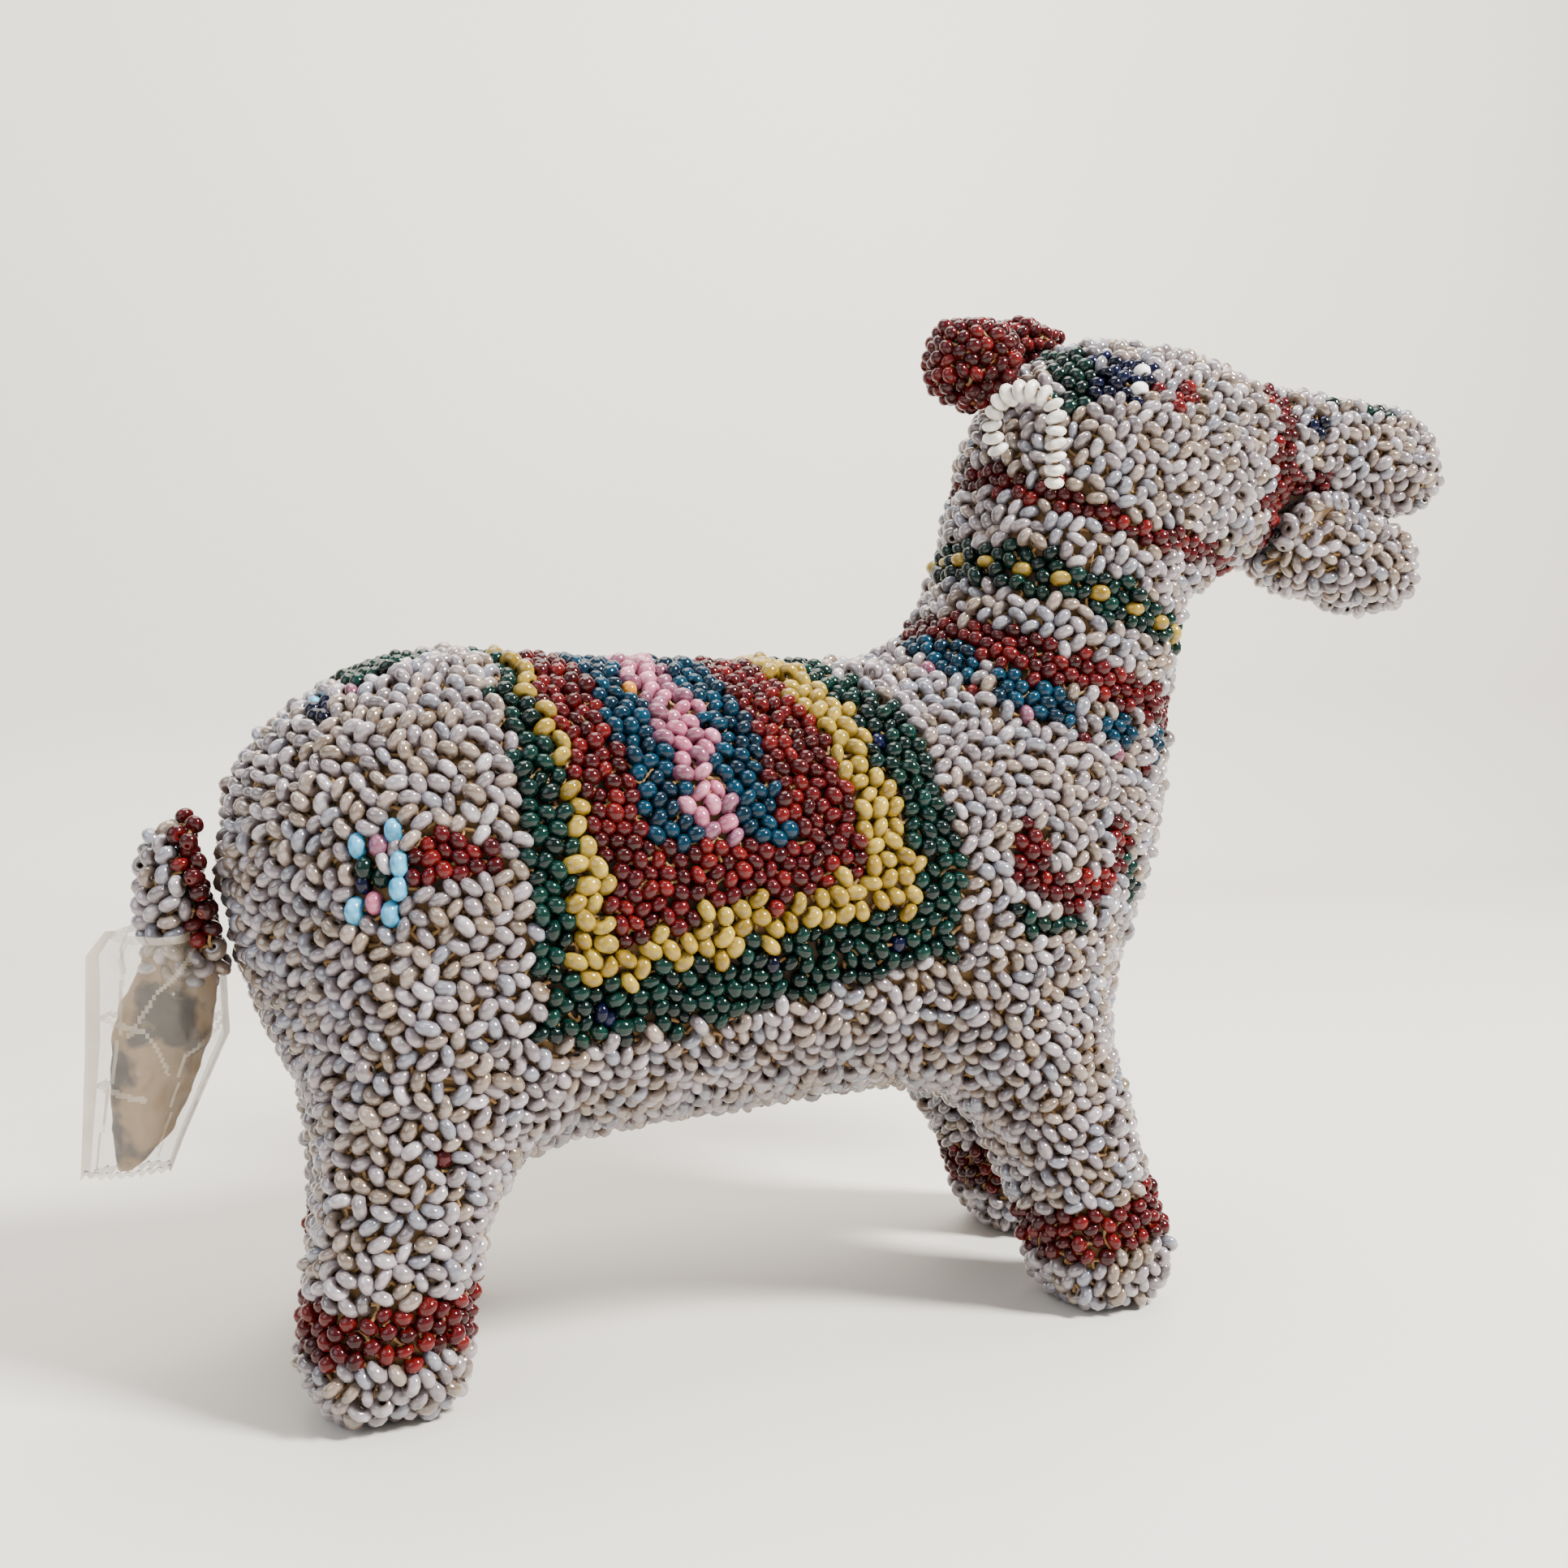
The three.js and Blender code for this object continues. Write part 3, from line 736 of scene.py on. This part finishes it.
# %% Bead meshes
def grid_quads(rows, columns, closed=False):
    """Quads over rows of points that each run round, with the last row joined to the first if closed."""
    row, column = np.divmod(np.arange((rows if closed else rows - 1) * columns), columns)
    this, following = row * columns, (row + 1) % rows * columns
    beside = (column + 1) % columns
    return np.stack([this + column, this + beside, following + beside, following + column], axis=1)


AROUND = 11
HOLE = 0.27
BORE = HOLE * 0.8
BORE_END = 0.7
OUTER_RINGS = 7
LIP = math.acos(HOLE)
slopes = np.linspace(-LIP, LIP, OUTER_RINGS)
from_axis = np.append(np.cos(slopes), [BORE, BORE])
along_hole = np.append(np.sin(slopes), [BORE_END, -BORE_END])
ACROSS = len(from_axis)
spin = np.arange(AROUND) / AROUND * 2 * math.pi
ring_across = np.repeat(from_axis, AROUND)
spin_y = ring_across * np.tile(np.cos(spin), ACROSS)
spin_z = ring_across * np.tile(np.sin(spin), ACROSS)
RING = np.stack([np.repeat(along_hole, AROUND), spin_y, spin_z], axis=1)
# The rim share sets where each bead's hole colour, with its painted shade, is mixed in.
RIM = np.repeat(np.clip((1 - from_axis) / (1 - HOLE), 0, 1), AROUND)
RING_FACES = grid_quads(ACROSS, AROUND, closed=True)


def mesh_object(name, points, faces, values=None, smooth=True):
    """A mesh of quads as an object, with named numbers or colours at its points."""
    mesh = bpy.data.meshes.new(name)
    mesh.vertices.add(len(points))
    mesh.vertices.foreach_set("co", np.asarray(points, np.float32).ravel())
    mesh.loops.add(faces.size)
    mesh.loops.foreach_set("vertex_index", faces.astype(np.int32).ravel())
    mesh.polygons.add(len(faces))
    mesh.polygons.foreach_set("loop_start", np.arange(0, faces.size, faces.shape[1], dtype=np.int32))
    mesh.polygons.foreach_set("use_smooth", np.full(len(faces), smooth))
    for key, data in (values or {}).items():
        kind = "FLOAT_COLOR" if data.ndim == 2 else "FLOAT"
        attribute = mesh.attributes.new(key, kind, "POINT")
        attribute.data.foreach_set("color" if data.ndim == 2 else "value", data.astype(np.float32).ravel())
    mesh.update()
    mesh.validate()
    made = bpy.data.objects.new(name, mesh)
    bpy.context.scene.collection.objects.link(made)
    return made


# Spread of the beads' width, length, tilt, tone and height in the net.
WIDTH_SPREAD = 0.06
LENGTH_SPREAD = 0.08
TILT_SPREAD = math.radians(9)
TONE_SPREAD = 0.06
LIE = 0.2
# How much further out a wide bead stands, as a share of its extra half width.
STANDS_OUT = 0.35


def bead_mesh(name, places, normals, axes, kind, lift=True):
    """Every bead of one kind in one piece, as rings of glass."""
    count = len(places)
    width, length, tones = KINDS[kind]
    radius = width / 2 * MM * chance.normal(1, WIDTH_SPREAD, count)
    half = length / 2 * MM * chance.normal(1, LENGTH_SPREAD, count)
    tilt = chance.normal(0, TILT_SPREAD, count)[:, None]
    tilted = axes * np.cos(tilt) + normals * np.sin(tilt)
    second = np.cross(normals, tilted)
    second /= np.linalg.norm(second, axis=1)[:, None]
    third = np.cross(tilted, second)
    middles = places
    if lift:
        height = STANDS_OUT * (width / 2 * MM - BED_DEPTH) + chance.normal(0, LIE * MM, count)
        middles = places + normals * height[:, None]
    middles[:, 2] = np.maximum(middles[:, 2], radius)
    points = middles[:, None] + (
        RING[None, :, :1] * half[:, None, None] * tilted[:, None]
        + RING[None, :, 1:2] * radius[:, None, None] * second[:, None]
        + RING[None, :, 2:] * radius[:, None, None] * third[:, None]
    )
    faces = RING_FACES[None] + (np.arange(count) * len(RING))[:, None, None]
    palette = np.array([linear(t) for t in tones])
    glass = palette[chance.integers(0, len(palette), count)]
    glass[:, :3] *= chance.normal(1, TONE_SPREAD, count)[:, None]
    values = {"glass": np.repeat(glass, len(RING), axis=0), "rim": np.tile(RIM, count)}
    return mesh_object(name, points.reshape(-1, 3), faces.reshape(-1, 4), values)


# %% [markdown]
# ## Glass finishes
# The plain beads look clear and a little pearly, with a sharp highlight. The deep red, green and blue ones
# look coloured right through. The yellow, rose, sky and white ones look opaque. Near its hole each bead's
# colour turns to a hole colour: partly the thread seen in and through the hole, partly painted shade in
# the hole and at the bead's ends. Most beads are painted darkest there; the deep red ones are painted a
# brighter red there instead, a painted glow of light through the glass.
# All are glossy, with slight dimples about half a millimetre apart.

# %% Bead finishes
# Colour at the hole (thread colour with painted shade, and for the ruby a painted glow), how far out it
# reaches, roughness, gloss, light let through, bump strength.
GLASS = {
    "pearl": ("#4E4036", 1.8, 0.14, 0.9, 0.3, 0.03),
    # Painted glow: the ruby's hole colour is a brighter red than its body, standing in for light through the
    # glass.
    "ruby": ("#5E0E0C", 3.0, 0.1, 0.26, 0.25, 0.02),
    "pine": ("#010B08", 3.0, 0.1, 0.26, 0.0, 0.02),
    "petrol": ("#020D17", 3.0, 0.12, 0.22, 0.0, 0.02),
    "navy": ("#020309", 3.0, 0.12, 0.22, 0.0, 0.02),
    "yellow": ("#5A4412", 3.0, 0.14, 0.4, 0.15, 0.03),
    "rose": ("#5A2F3F", 3.0, 0.16, 0.5, 0.2, 0.03),
    "sky": ("#2A5C70", 3.5, 0.2, 0.4, 0.1, 0.04),
    "white": ("#544E45", 3.0, 0.28, 0.3, 0.1, 0.04),
    "eye_white": ("#544E45", 3.5, 0.28, 0.3, 0.1, 0.04),
    "amber": ("#3E2405", 3.0, 0.18, 0.4, 0.15, 0.02),
}
DIMPLES_PER_METRE = 2000.0
STREAKS_PER_METRE = 900.0
LIGHT_REACH = 0.6 * MM
DIMPLE_DEPTH = 0.1 * MM
COAT_SHARE = 0.7


def bead_colour(hole, reach):
    def build(tree):
        glass = add(tree, "ShaderNodeAttribute", {"attribute_name": "glass"})
        rim = add(tree, "ShaderNodeAttribute", {"attribute_name": "rim"})
        streak = cloud(tree, STREAKS_PER_METRE, Detail=3.0)
        span = {"Value": streak, "From Min": 0.3, "From Max": 0.7, "To Min": 0.62, "To Max": 1.5}
        depth = add(tree, "ShaderNodeMapRange", None, span)
        body = add(tree, "ShaderNodeVectorMath", {"operation": "SCALE"}, {0: glass.outputs["Color"]})
        tree.links.new(depth.outputs["Result"], body.inputs["Scale"])
        # Towards the hole the colour turns to the hole colour: thread colour and painted shade.
        deep = add(tree, "ShaderNodeMath", {"operation": "POWER"}, {0: rim.outputs["Fac"], 1: reach})
        return blend(tree, deep.outputs[0], body.outputs["Vector"], linear(hole))

    return build


def bead_surface(rough, gloss, through, bump):
    def build(tree):
        dimples = cloud(tree, DIMPLES_PER_METRE, Detail=2.0)
        return {
            "Roughness": rough,
            "Specular IOR Level": gloss,
            "Coat Weight": gloss * COAT_SHARE,
            "Coat Roughness": 0.04,
            "IOR": 1.5,
            "Subsurface Weight": through,
            "Subsurface Radius": (LIGHT_REACH, LIGHT_REACH, LIGHT_REACH),
            "Subsurface Scale": 1.0,
            "Normal": raised(tree, dimples, bump, DIMPLE_DEPTH),
        }

    return build


bead_finish = {}
for kind, (hole, reach, *surface) in GLASS.items():
    label = f"{kind.replace('_', ' ')} seed bead glass, glossy"
    bead_finish[kind] = finish_named(label, bead_colour(hole, reach), bead_surface(*surface))

# %% [markdown]
# Each piece holds the beads of one kind on one net node of the frame and takes that kind's finish. The
# node itself is hidden.

# %% Bead pieces
piece_count = 0
for index, node in enumerate(net_nodes):
    part = part_of(node)
    for kind_index, kind in enumerate(NAMES):
        own = (owners[part] == index) & (laid[part][3] == kind_index)
        if not own.any():
            continue
        places, normals, axes = (a[own] for a in laid[part][:3])
        piece = bead_mesh(f"{node}.{kind}", places, normals, axes, kind)
        piece.data.materials.append(bead_finish[kind])
        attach(piece, "tail" if part == "tail" else "animal")
        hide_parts(node)
        piece_count += 1
print("bead pieces:", piece_count)

# %% [markdown]
# ## The thread
# Brown thread shows in the gaps. Here each hole is joined to the nearest hole of another bead by its own
# short run, which dips towards the stuffing on the way. The real thread's path cannot be seen.

# %% Thread between holes
THREAD = 0.2 * MM
LONGEST_RUN = 1.4 * MM
RUN_DIP = 0.15 * MM
MOUTH_AT = 0.8
MOUTHS_TRIED = 4


def tubes(lines, radius, sides=4):
    """Points and quads of thin tubes along lines that all have the same number of points."""
    lines = np.asarray(lines)
    ahead = np.gradient(lines, axis=1)
    ahead /= np.maximum(np.linalg.norm(ahead, axis=2), 1e-12)[..., None]
    aside = np.cross(ahead, (0.31, 0.17, 0.93))
    aside /= np.linalg.norm(aside, axis=2)[..., None]
    over = np.cross(ahead, aside)
    turns = np.arange(sides) / sides * 2 * math.pi
    circle = aside[:, :, None] * np.cos(turns)[:, None] + over[:, :, None] * np.sin(turns)[:, None]
    points = lines[:, :, None] + circle * radius
    count, steps = lines.shape[:2]
    faces = grid_quads(steps, sides)[None] + (np.arange(count) * steps * sides)[:, None, None]
    return points.reshape(-1, 3), faces.reshape(-1, 4)


def thread_lines(places, normals, axes, kinds):
    """Runs from each hole's mouth to the nearest mouth of another bead."""
    half = LENGTH[kinds][:, None] / 2 * MOUTH_AT
    mouths = np.vstack([places - axes * half, places + axes * half])
    bead = np.tile(np.arange(len(places)), 2)
    finder = finder_of(mouths)
    pairs = set()
    for index, p in enumerate(mouths.tolist()):
        for _, other, distance in finder.find_n(p, MOUTHS_TRIED):
            if bead[other] != bead[index] and distance < LONGEST_RUN:
                pairs.add((min(index, other), max(index, other)))
                break
    pairs = np.array(sorted(pairs))
    a, b = mouths[pairs[:, 0]], mouths[pairs[:, 1]]
    middle = (a + b) / 2 - normals[bead[pairs[:, 0]]] * RUN_DIP
    return np.stack([a, middle, b], axis=1)


def thread_colour(tree):
    return blend(tree, cloud(tree, 700.0), linear("#6B4A1F"), linear("#A47C3F"))


def fibre_surface(tree):
    fibre = cloud(tree, 2600.0, Detail=4.0, Distortion=1.4)
    return {"Roughness": 0.82, "Sheen Weight": 0.25, "Normal": raised(tree, fibre, 0.6, 0.15 * MM)}


thread_finish = finish_named("brown bead thread", thread_colour, fibre_surface)
for part, (places, normals, axes, kinds) in laid.items():
    points, faces = tubes(thread_lines(places, normals, axes, kinds), THREAD)
    piece = mesh_object(f"thread.{part}", points, faces)
    piece.data.materials.append(thread_finish)
    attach(piece, "tail" if part == "tail" else "animal")
    print("thread:", part, len(faces), "faces")

# %% [markdown]
# ## The stuffing
# Under the net the form is brown stuffing, which shows between the beads as warm dark gaps. The plain
# beads are sunk about a quarter of their width into it. Below the deep red, green and blue beads the
# stuffing is given a painted shade, so that the gaps there look as dark as they should; whether the real
# stuffing is darker there cannot be seen. Each stuffed form takes the place of the frame's plain cores.

# %% Stuffed cores
CORE_DEPTH = 1.5 * MM
DEEP_KINDS = [NAMES.index(k) for k in ("ruby", "pine", "petrol", "navy")]
DEEP_SHADE = 0.85


def cloth_colour(tree):
    patches = cloud(tree, 160.0, Detail=5.0, Roughness=0.6)
    cloth = blend(tree, patches, linear("#5C4222"), linear("#94713F"))
    # Painted shade: the stuffing is darkened where the deep red, green and blue beads lie over it.
    shade = add(tree, "ShaderNodeAttribute", {"attribute_name": "shade"}).outputs["Fac"]
    return blend(tree, shade, cloth, linear("#20100A"))


core_finish = finish_named("brown stuffing", cloth_colour, fibre_surface)
for part in members:
    if part == "tail":
        continue
    points, faces, normals = skins[part]
    # The shade attribute marks the painted shade under the deep-coloured beads.
    shade = np.isin(kinds_at(points, part), DEEP_KINDS) * DEEP_SHADE
    core = mesh_object(f"{part}_stuffed_core", points - normals * CORE_DEPTH, faces, {"shade": shade})
    core.data.materials.append(core_finish)
    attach(core, "animal")
    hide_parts(*[n for n in members[part] if n.endswith("_stuffing")])

# %% [markdown]
# ## The bare end of the tail
# The tail's end is bare of beads, and its core shows: pale brown, flat and wide, upright behind and
# slanting in front down to a low point, with blue-black stains. It is built from flattened rings, each
# given by its height, its hind and front edges and half its thickness, and its skin wanders a little.

# %% Tail core
TAIL_RINGS = [
    (48.5, -72, -69, 0.8), (47, -73, -68, 1.8), (44, -73.6, -67.6, 2.2), (41, -74.4, -67.4, 2.4),
    (37.5, -76.4, -67.4, 2.6), (33.5, -77.2, -68.3, 2.8), (29, -77.3, -69.7, 2.5), (25, -77.1, -72, 1.8),
    (22.4, -76.9, -74.5, 1), (21.6, -76.6, -75.4, 0.4),
]  # fmt: skip
RING_POINTS = 28
RING_STEPS = 60
WANDER_THICKNESS = 0.16
WANDER_ASIDE = 0.35
heights, *profiles = np.array(TAIL_RINGS[::-1]).T
level = np.linspace(heights[-1], heights[0], RING_STEPS)
hind_edge, front_edge, thick = (np.interp(level, heights, profile) for profile in profiles)
around = np.arange(RING_POINTS) / RING_POINTS * 2 * math.pi
core_x = (hind_edge + front_edge)[:, None] / 2 + (front_edge - hind_edge)[:, None] / 2 * np.cos(around)
core_y = thick[:, None] * np.sin(around)
core_z = np.repeat(level[:, None], RING_POINTS, axis=1)
points = np.stack([core_x, core_y, core_z], axis=2).reshape(-1, 3)
wander = [noise.noise(Vector(p) * 0.42) + 0.4 * noise.noise(Vector(p) * 1.3) for p in points.tolist()]
wander = np.array(wander)
points[:, 1] *= 1 + WANDER_THICKNESS * wander
points[:, 0] += WANDER_ASIDE * wander
faces = grid_quads(RING_STEPS, RING_POINTS)[:, [0, 3, 2, 1]]
points = np.vstack([points, points[:RING_POINTS].mean(0), points[-RING_POINTS:].mean(0)]) * MM
top = RING_STEPS * RING_POINTS
column = np.arange(0, RING_POINTS, 2)
last = (RING_STEPS - 1) * RING_POINTS
two_on = (column + 2) % RING_POINTS
hub = np.full(len(column), top)
top_cap = np.stack([hub, column, column + 1, two_on], axis=1)
foot_cap = np.stack([hub + 1, last + two_on, last + column + 1, last + column], axis=1)
faces = np.vstack([faces, top_cap, foot_cap])


def tail_cloth_colour(tree):
    place = object_place(tree)
    streaks = add(tree, "ShaderNodeMapping", None, {"Vector": place, "Scale": (1.0, 1.0, 0.3)})
    grain = cloud(tree, 420.0, streaks.outputs["Vector"], Detail=6.0, Roughness=0.65)
    base = blend(tree, grain, linear("#6E573D"), linear("#A88F70"))
    blot = cloud(tree, 190.0, place, Detail=3.0)
    stain = add(tree, "ShaderNodeMapRange", None, {"Value": blot, "From Min": 0.5, "From Max": 0.58})
    return blend(tree, stain.outputs["Result"], base, linear("#232630"))


tail_core = mesh_object("tail_bare_core", points, faces)
tail_core.data.materials.append(finish_named("bare tail core, stained", tail_cloth_colour, fibre_surface))
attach(tail_core, "tail")
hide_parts("tail_stuffing")

# %% [markdown]
# ## The clear film round the tail
# The tail's end is wrapped in clear film, which looks folded flat, with its two faces together along the
# hind edge and a toothed cut at its free end. It is modelled as two crumpled faces, one on each side. The
# creases are drawn at chosen places. The front edge is kept clear of the rump so that the tail can swing.

# %% Film wrap
FILM_TOP = 44.9
FILM_FOOT = 21.0
FILM_HIND = ([21.0, 33, 42.6, 44.9], [-80.1, -79.4, -79.1, -77.3])
FILM_FRONT = ([21.0, 24.6, 34.4, 40.5, 44.9], [-72.0, -70.6, -66.2, -66.4, -69.0])
FILM_HALF = ([21.0, 25, 30, 38, 44.9], [0.9, 2.4, 3.4, 4.6, 5.4])
TEETH = 1.1
# Creases, as places across and down the film, each from 0 to 1.
CREASES = [
    [(0.95, 0.04), (0.5, 0.22), (0.3, 0.4)], [(0, 0.33), (0.4, 0.38), (0.62, 0.56)],
    [(0.28, 0.03), (0.16, 0.96)], [(0.98, 0.36), (0.7, 0.5), (0.78, 0.9)], [(0.1, 0.62), (0.5, 0.66)],
]  # fmt: skip
CREASE_HALF = 0.011
TOOTH_COUNT = 9
# Places across and down the film that are doubled over at its edges.
DOUBLED_ACROSS = (0.1, 0.96)
DOUBLED_DOWN = (0.03, 0.965)
STUCK_HIND = 0.12
BULGE_POWER = 0.6
FILM_GAP = 0.06
CRUMPLE_DEPTH = 0.7
FOLD_SHARE = 1.1
ROWS = 96
COLUMNS = 40
rows = np.linspace(0, 1, ROWS)
columns = np.linspace(0, 1, COLUMNS)
across, down = np.meshgrid(columns, rows)
height = FILM_TOP + (FILM_FOOT - FILM_TOP) * down
tooth = np.abs((across * TOOTH_COUNT) % 1 - 0.5) * TEETH
height = height + np.where(down > 0.97, -tooth + TEETH / 2, 0)
hind = np.interp(height, *FILM_HIND)
front = np.interp(height, *FILM_FRONT)
loose = np.clip((across - STUCK_HIND) / (1 - STUCK_HIND), 0, 1)
bulge = np.clip(np.sin(loose * math.pi), 0, 1) ** BULGE_POWER
film_x = hind + (front - hind) * across
film_sheets = []
for side in (-1, 1):
    crumple = []
    for x, z in zip(film_x.ravel(), height.ravel()):
        wave = noise.noise(Vector((x * 0.42, side * 7.0, z * 0.23)))
        fold = abs(noise.noise(Vector((x * 0.5, side * 3.0, z * 0.4))))
        crumple.append(wave + FOLD_SHARE * fold)
    half = np.interp(height, *FILM_HALF) * bulge + FILM_GAP
    film_y = side * (half + CRUMPLE_DEPTH * np.array(crumple).reshape(half.shape) * np.clip(bulge * 3, 0, 1))
    film_sheets.append(np.stack([film_x, film_y, height], axis=2).reshape(-1, 3))
cell = np.arange((ROWS - 1) * COLUMNS).reshape(ROWS - 1, COLUMNS)[:, :-1].ravel()
one_sheet = np.stack([cell, cell + 1, cell + COLUMNS + 1, cell + COLUMNS], axis=1)
far_sheet = one_sheet[:, ::-1] + ROWS * COLUMNS
film_points = np.vstack(film_sheets) * MM
FILM_ALPHA = 0.2
DOUBLED_ALPHA = 0.55


def film_surface(tree, alpha):
    cells = {"Vector": object_place(tree), "Scale": 260.0}
    crease = add(tree, "ShaderNodeTexVoronoi", {"feature": "DISTANCE_TO_EDGE"}, cells)
    return {
        "Roughness": 0.12,
        "IOR": 1.5,
        "Alpha": alpha,
        "Coat Weight": 1.0,
        "Coat Roughness": 0.05,
        "Normal": raised(tree, crease.outputs["Distance"], 0.5, 0.3 * MM),
    }


def film_colour(tree):
    return blend(tree, cloud(tree, 300.0, Detail=5.0), linear("#C9BFAE"), linear("#A3957F"))


film = mesh_object("tail_film_wrap", film_points, np.vstack([one_sheet, far_sheet]))
for label, alpha in (("clear film", FILM_ALPHA), ("clear film, doubled", DOUBLED_ALPHA)):
    film_finish = finish_named(label, film_colour, lambda tree: film_surface(tree, alpha))
    film.data.materials.append(film_finish)
face_across = (across[:-1, :-1] + across[1:, 1:]).ravel() / 2
face_down = (down[:-1, :-1] + down[1:, 1:]).ravel() / 2
doubled = (face_across < DOUBLED_ACROSS[0]) | (face_across > DOUBLED_ACROSS[1])
doubled |= (face_down < DOUBLED_DOWN[0]) | (face_down > DOUBLED_DOWN[1])
for crease in CREASES:
    doubled |= off_stroke(face_across, face_down, crease) < CREASE_HALF
film.data.polygons.foreach_set("material_index", np.tile(doubled, 2).astype(np.int32))
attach(film, "tail")
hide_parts("tail_tape")

# %% [markdown]
# ## The bead loops beside the head
# White beads are strung on a thread that leaves the net behind the cheek, stands up in an arch and goes
# back in lower down. About thirteen show on the real right loop. Here the pitch sets the count, which is
# a few more. The left loop is taken to be like the right one.

# %% Side loops
LOOPS = {
    "right": [(13.8, -8.3, 92.8), (12.6, -8.5, 95.2), (12.6, -10, 98), (14.3, -12.8, 99),
              (16.5, -14.7, 97.4), (17, -14.4, 93.2), (17.5, -13.3, 88.8)],
    "left": [(27.3, 16.9, 92.6), (26.7, 17.9, 95.4), (27.3, 18.6, 98), (29.7, 18.6, 99),
             (32.1, 18.4, 97.4), (32.7, 17.9, 93.2), (32.7, 16.3, 88.8)],
}  # fmt: skip
BEAD_PITCH = 1.34
LOOP_THREAD = THREAD * 1.4


def smooth_line(stops, steps=24):
    """A curve through the stops, as closely spaced points."""
    stops = np.array([stops[0], *stops, stops[-1]], float)
    line = []
    for a, b, c, d in zip(stops, stops[1:], stops[2:], stops[3:]):
        for t in np.arange(steps) / steps:
            bend = (2 * a - 5 * b + 4 * c - d) * t**2 + (3 * b - a - 3 * c + d) * t**3
            line.append((2 * b + (c - a) * t + bend) / 2)
    return np.array([*line, stops[-1]])


for side, stops in LOOPS.items():
    line = smooth_line(stops)
    travel = np.append(0, np.cumsum(np.linalg.norm(np.diff(line, axis=0), axis=1)))
    count = int(travel[-1] / BEAD_PITCH)
    at = (np.arange(count) + 0.5) / count * travel[-1]
    middles = np.stack([np.interp(at, travel, line[:, i]) for i in range(3)], axis=1)
    ahead = np.stack([np.gradient(np.interp(at, travel, line[:, i])) for i in range(3)], axis=1)
    ahead /= np.linalg.norm(ahead, axis=1)[:, None]
    outward = np.cross(ahead, (0.4, 0.3, 0.86))
    outward /= np.linalg.norm(outward, axis=1)[:, None]
    body = f"loop_{side}"
    beads = bead_mesh(f"bead_loop_{side}.white", middles * MM, outward, ahead, "white", lift=False)
    beads.data.materials.append(bead_finish["white"])
    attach(beads, body)
    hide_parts(f"bead_loop_{side}")
    points, faces = tubes(line[None, ::4] * MM, LOOP_THREAD, sides=6)
    strand = mesh_object(f"bead_loop_{side}.thread", points, faces)
    strand.data.materials.append(thread_finish)
    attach(strand, body)
    print("loop:", side, count, "beads on", round(travel[-1], 1), "mm")
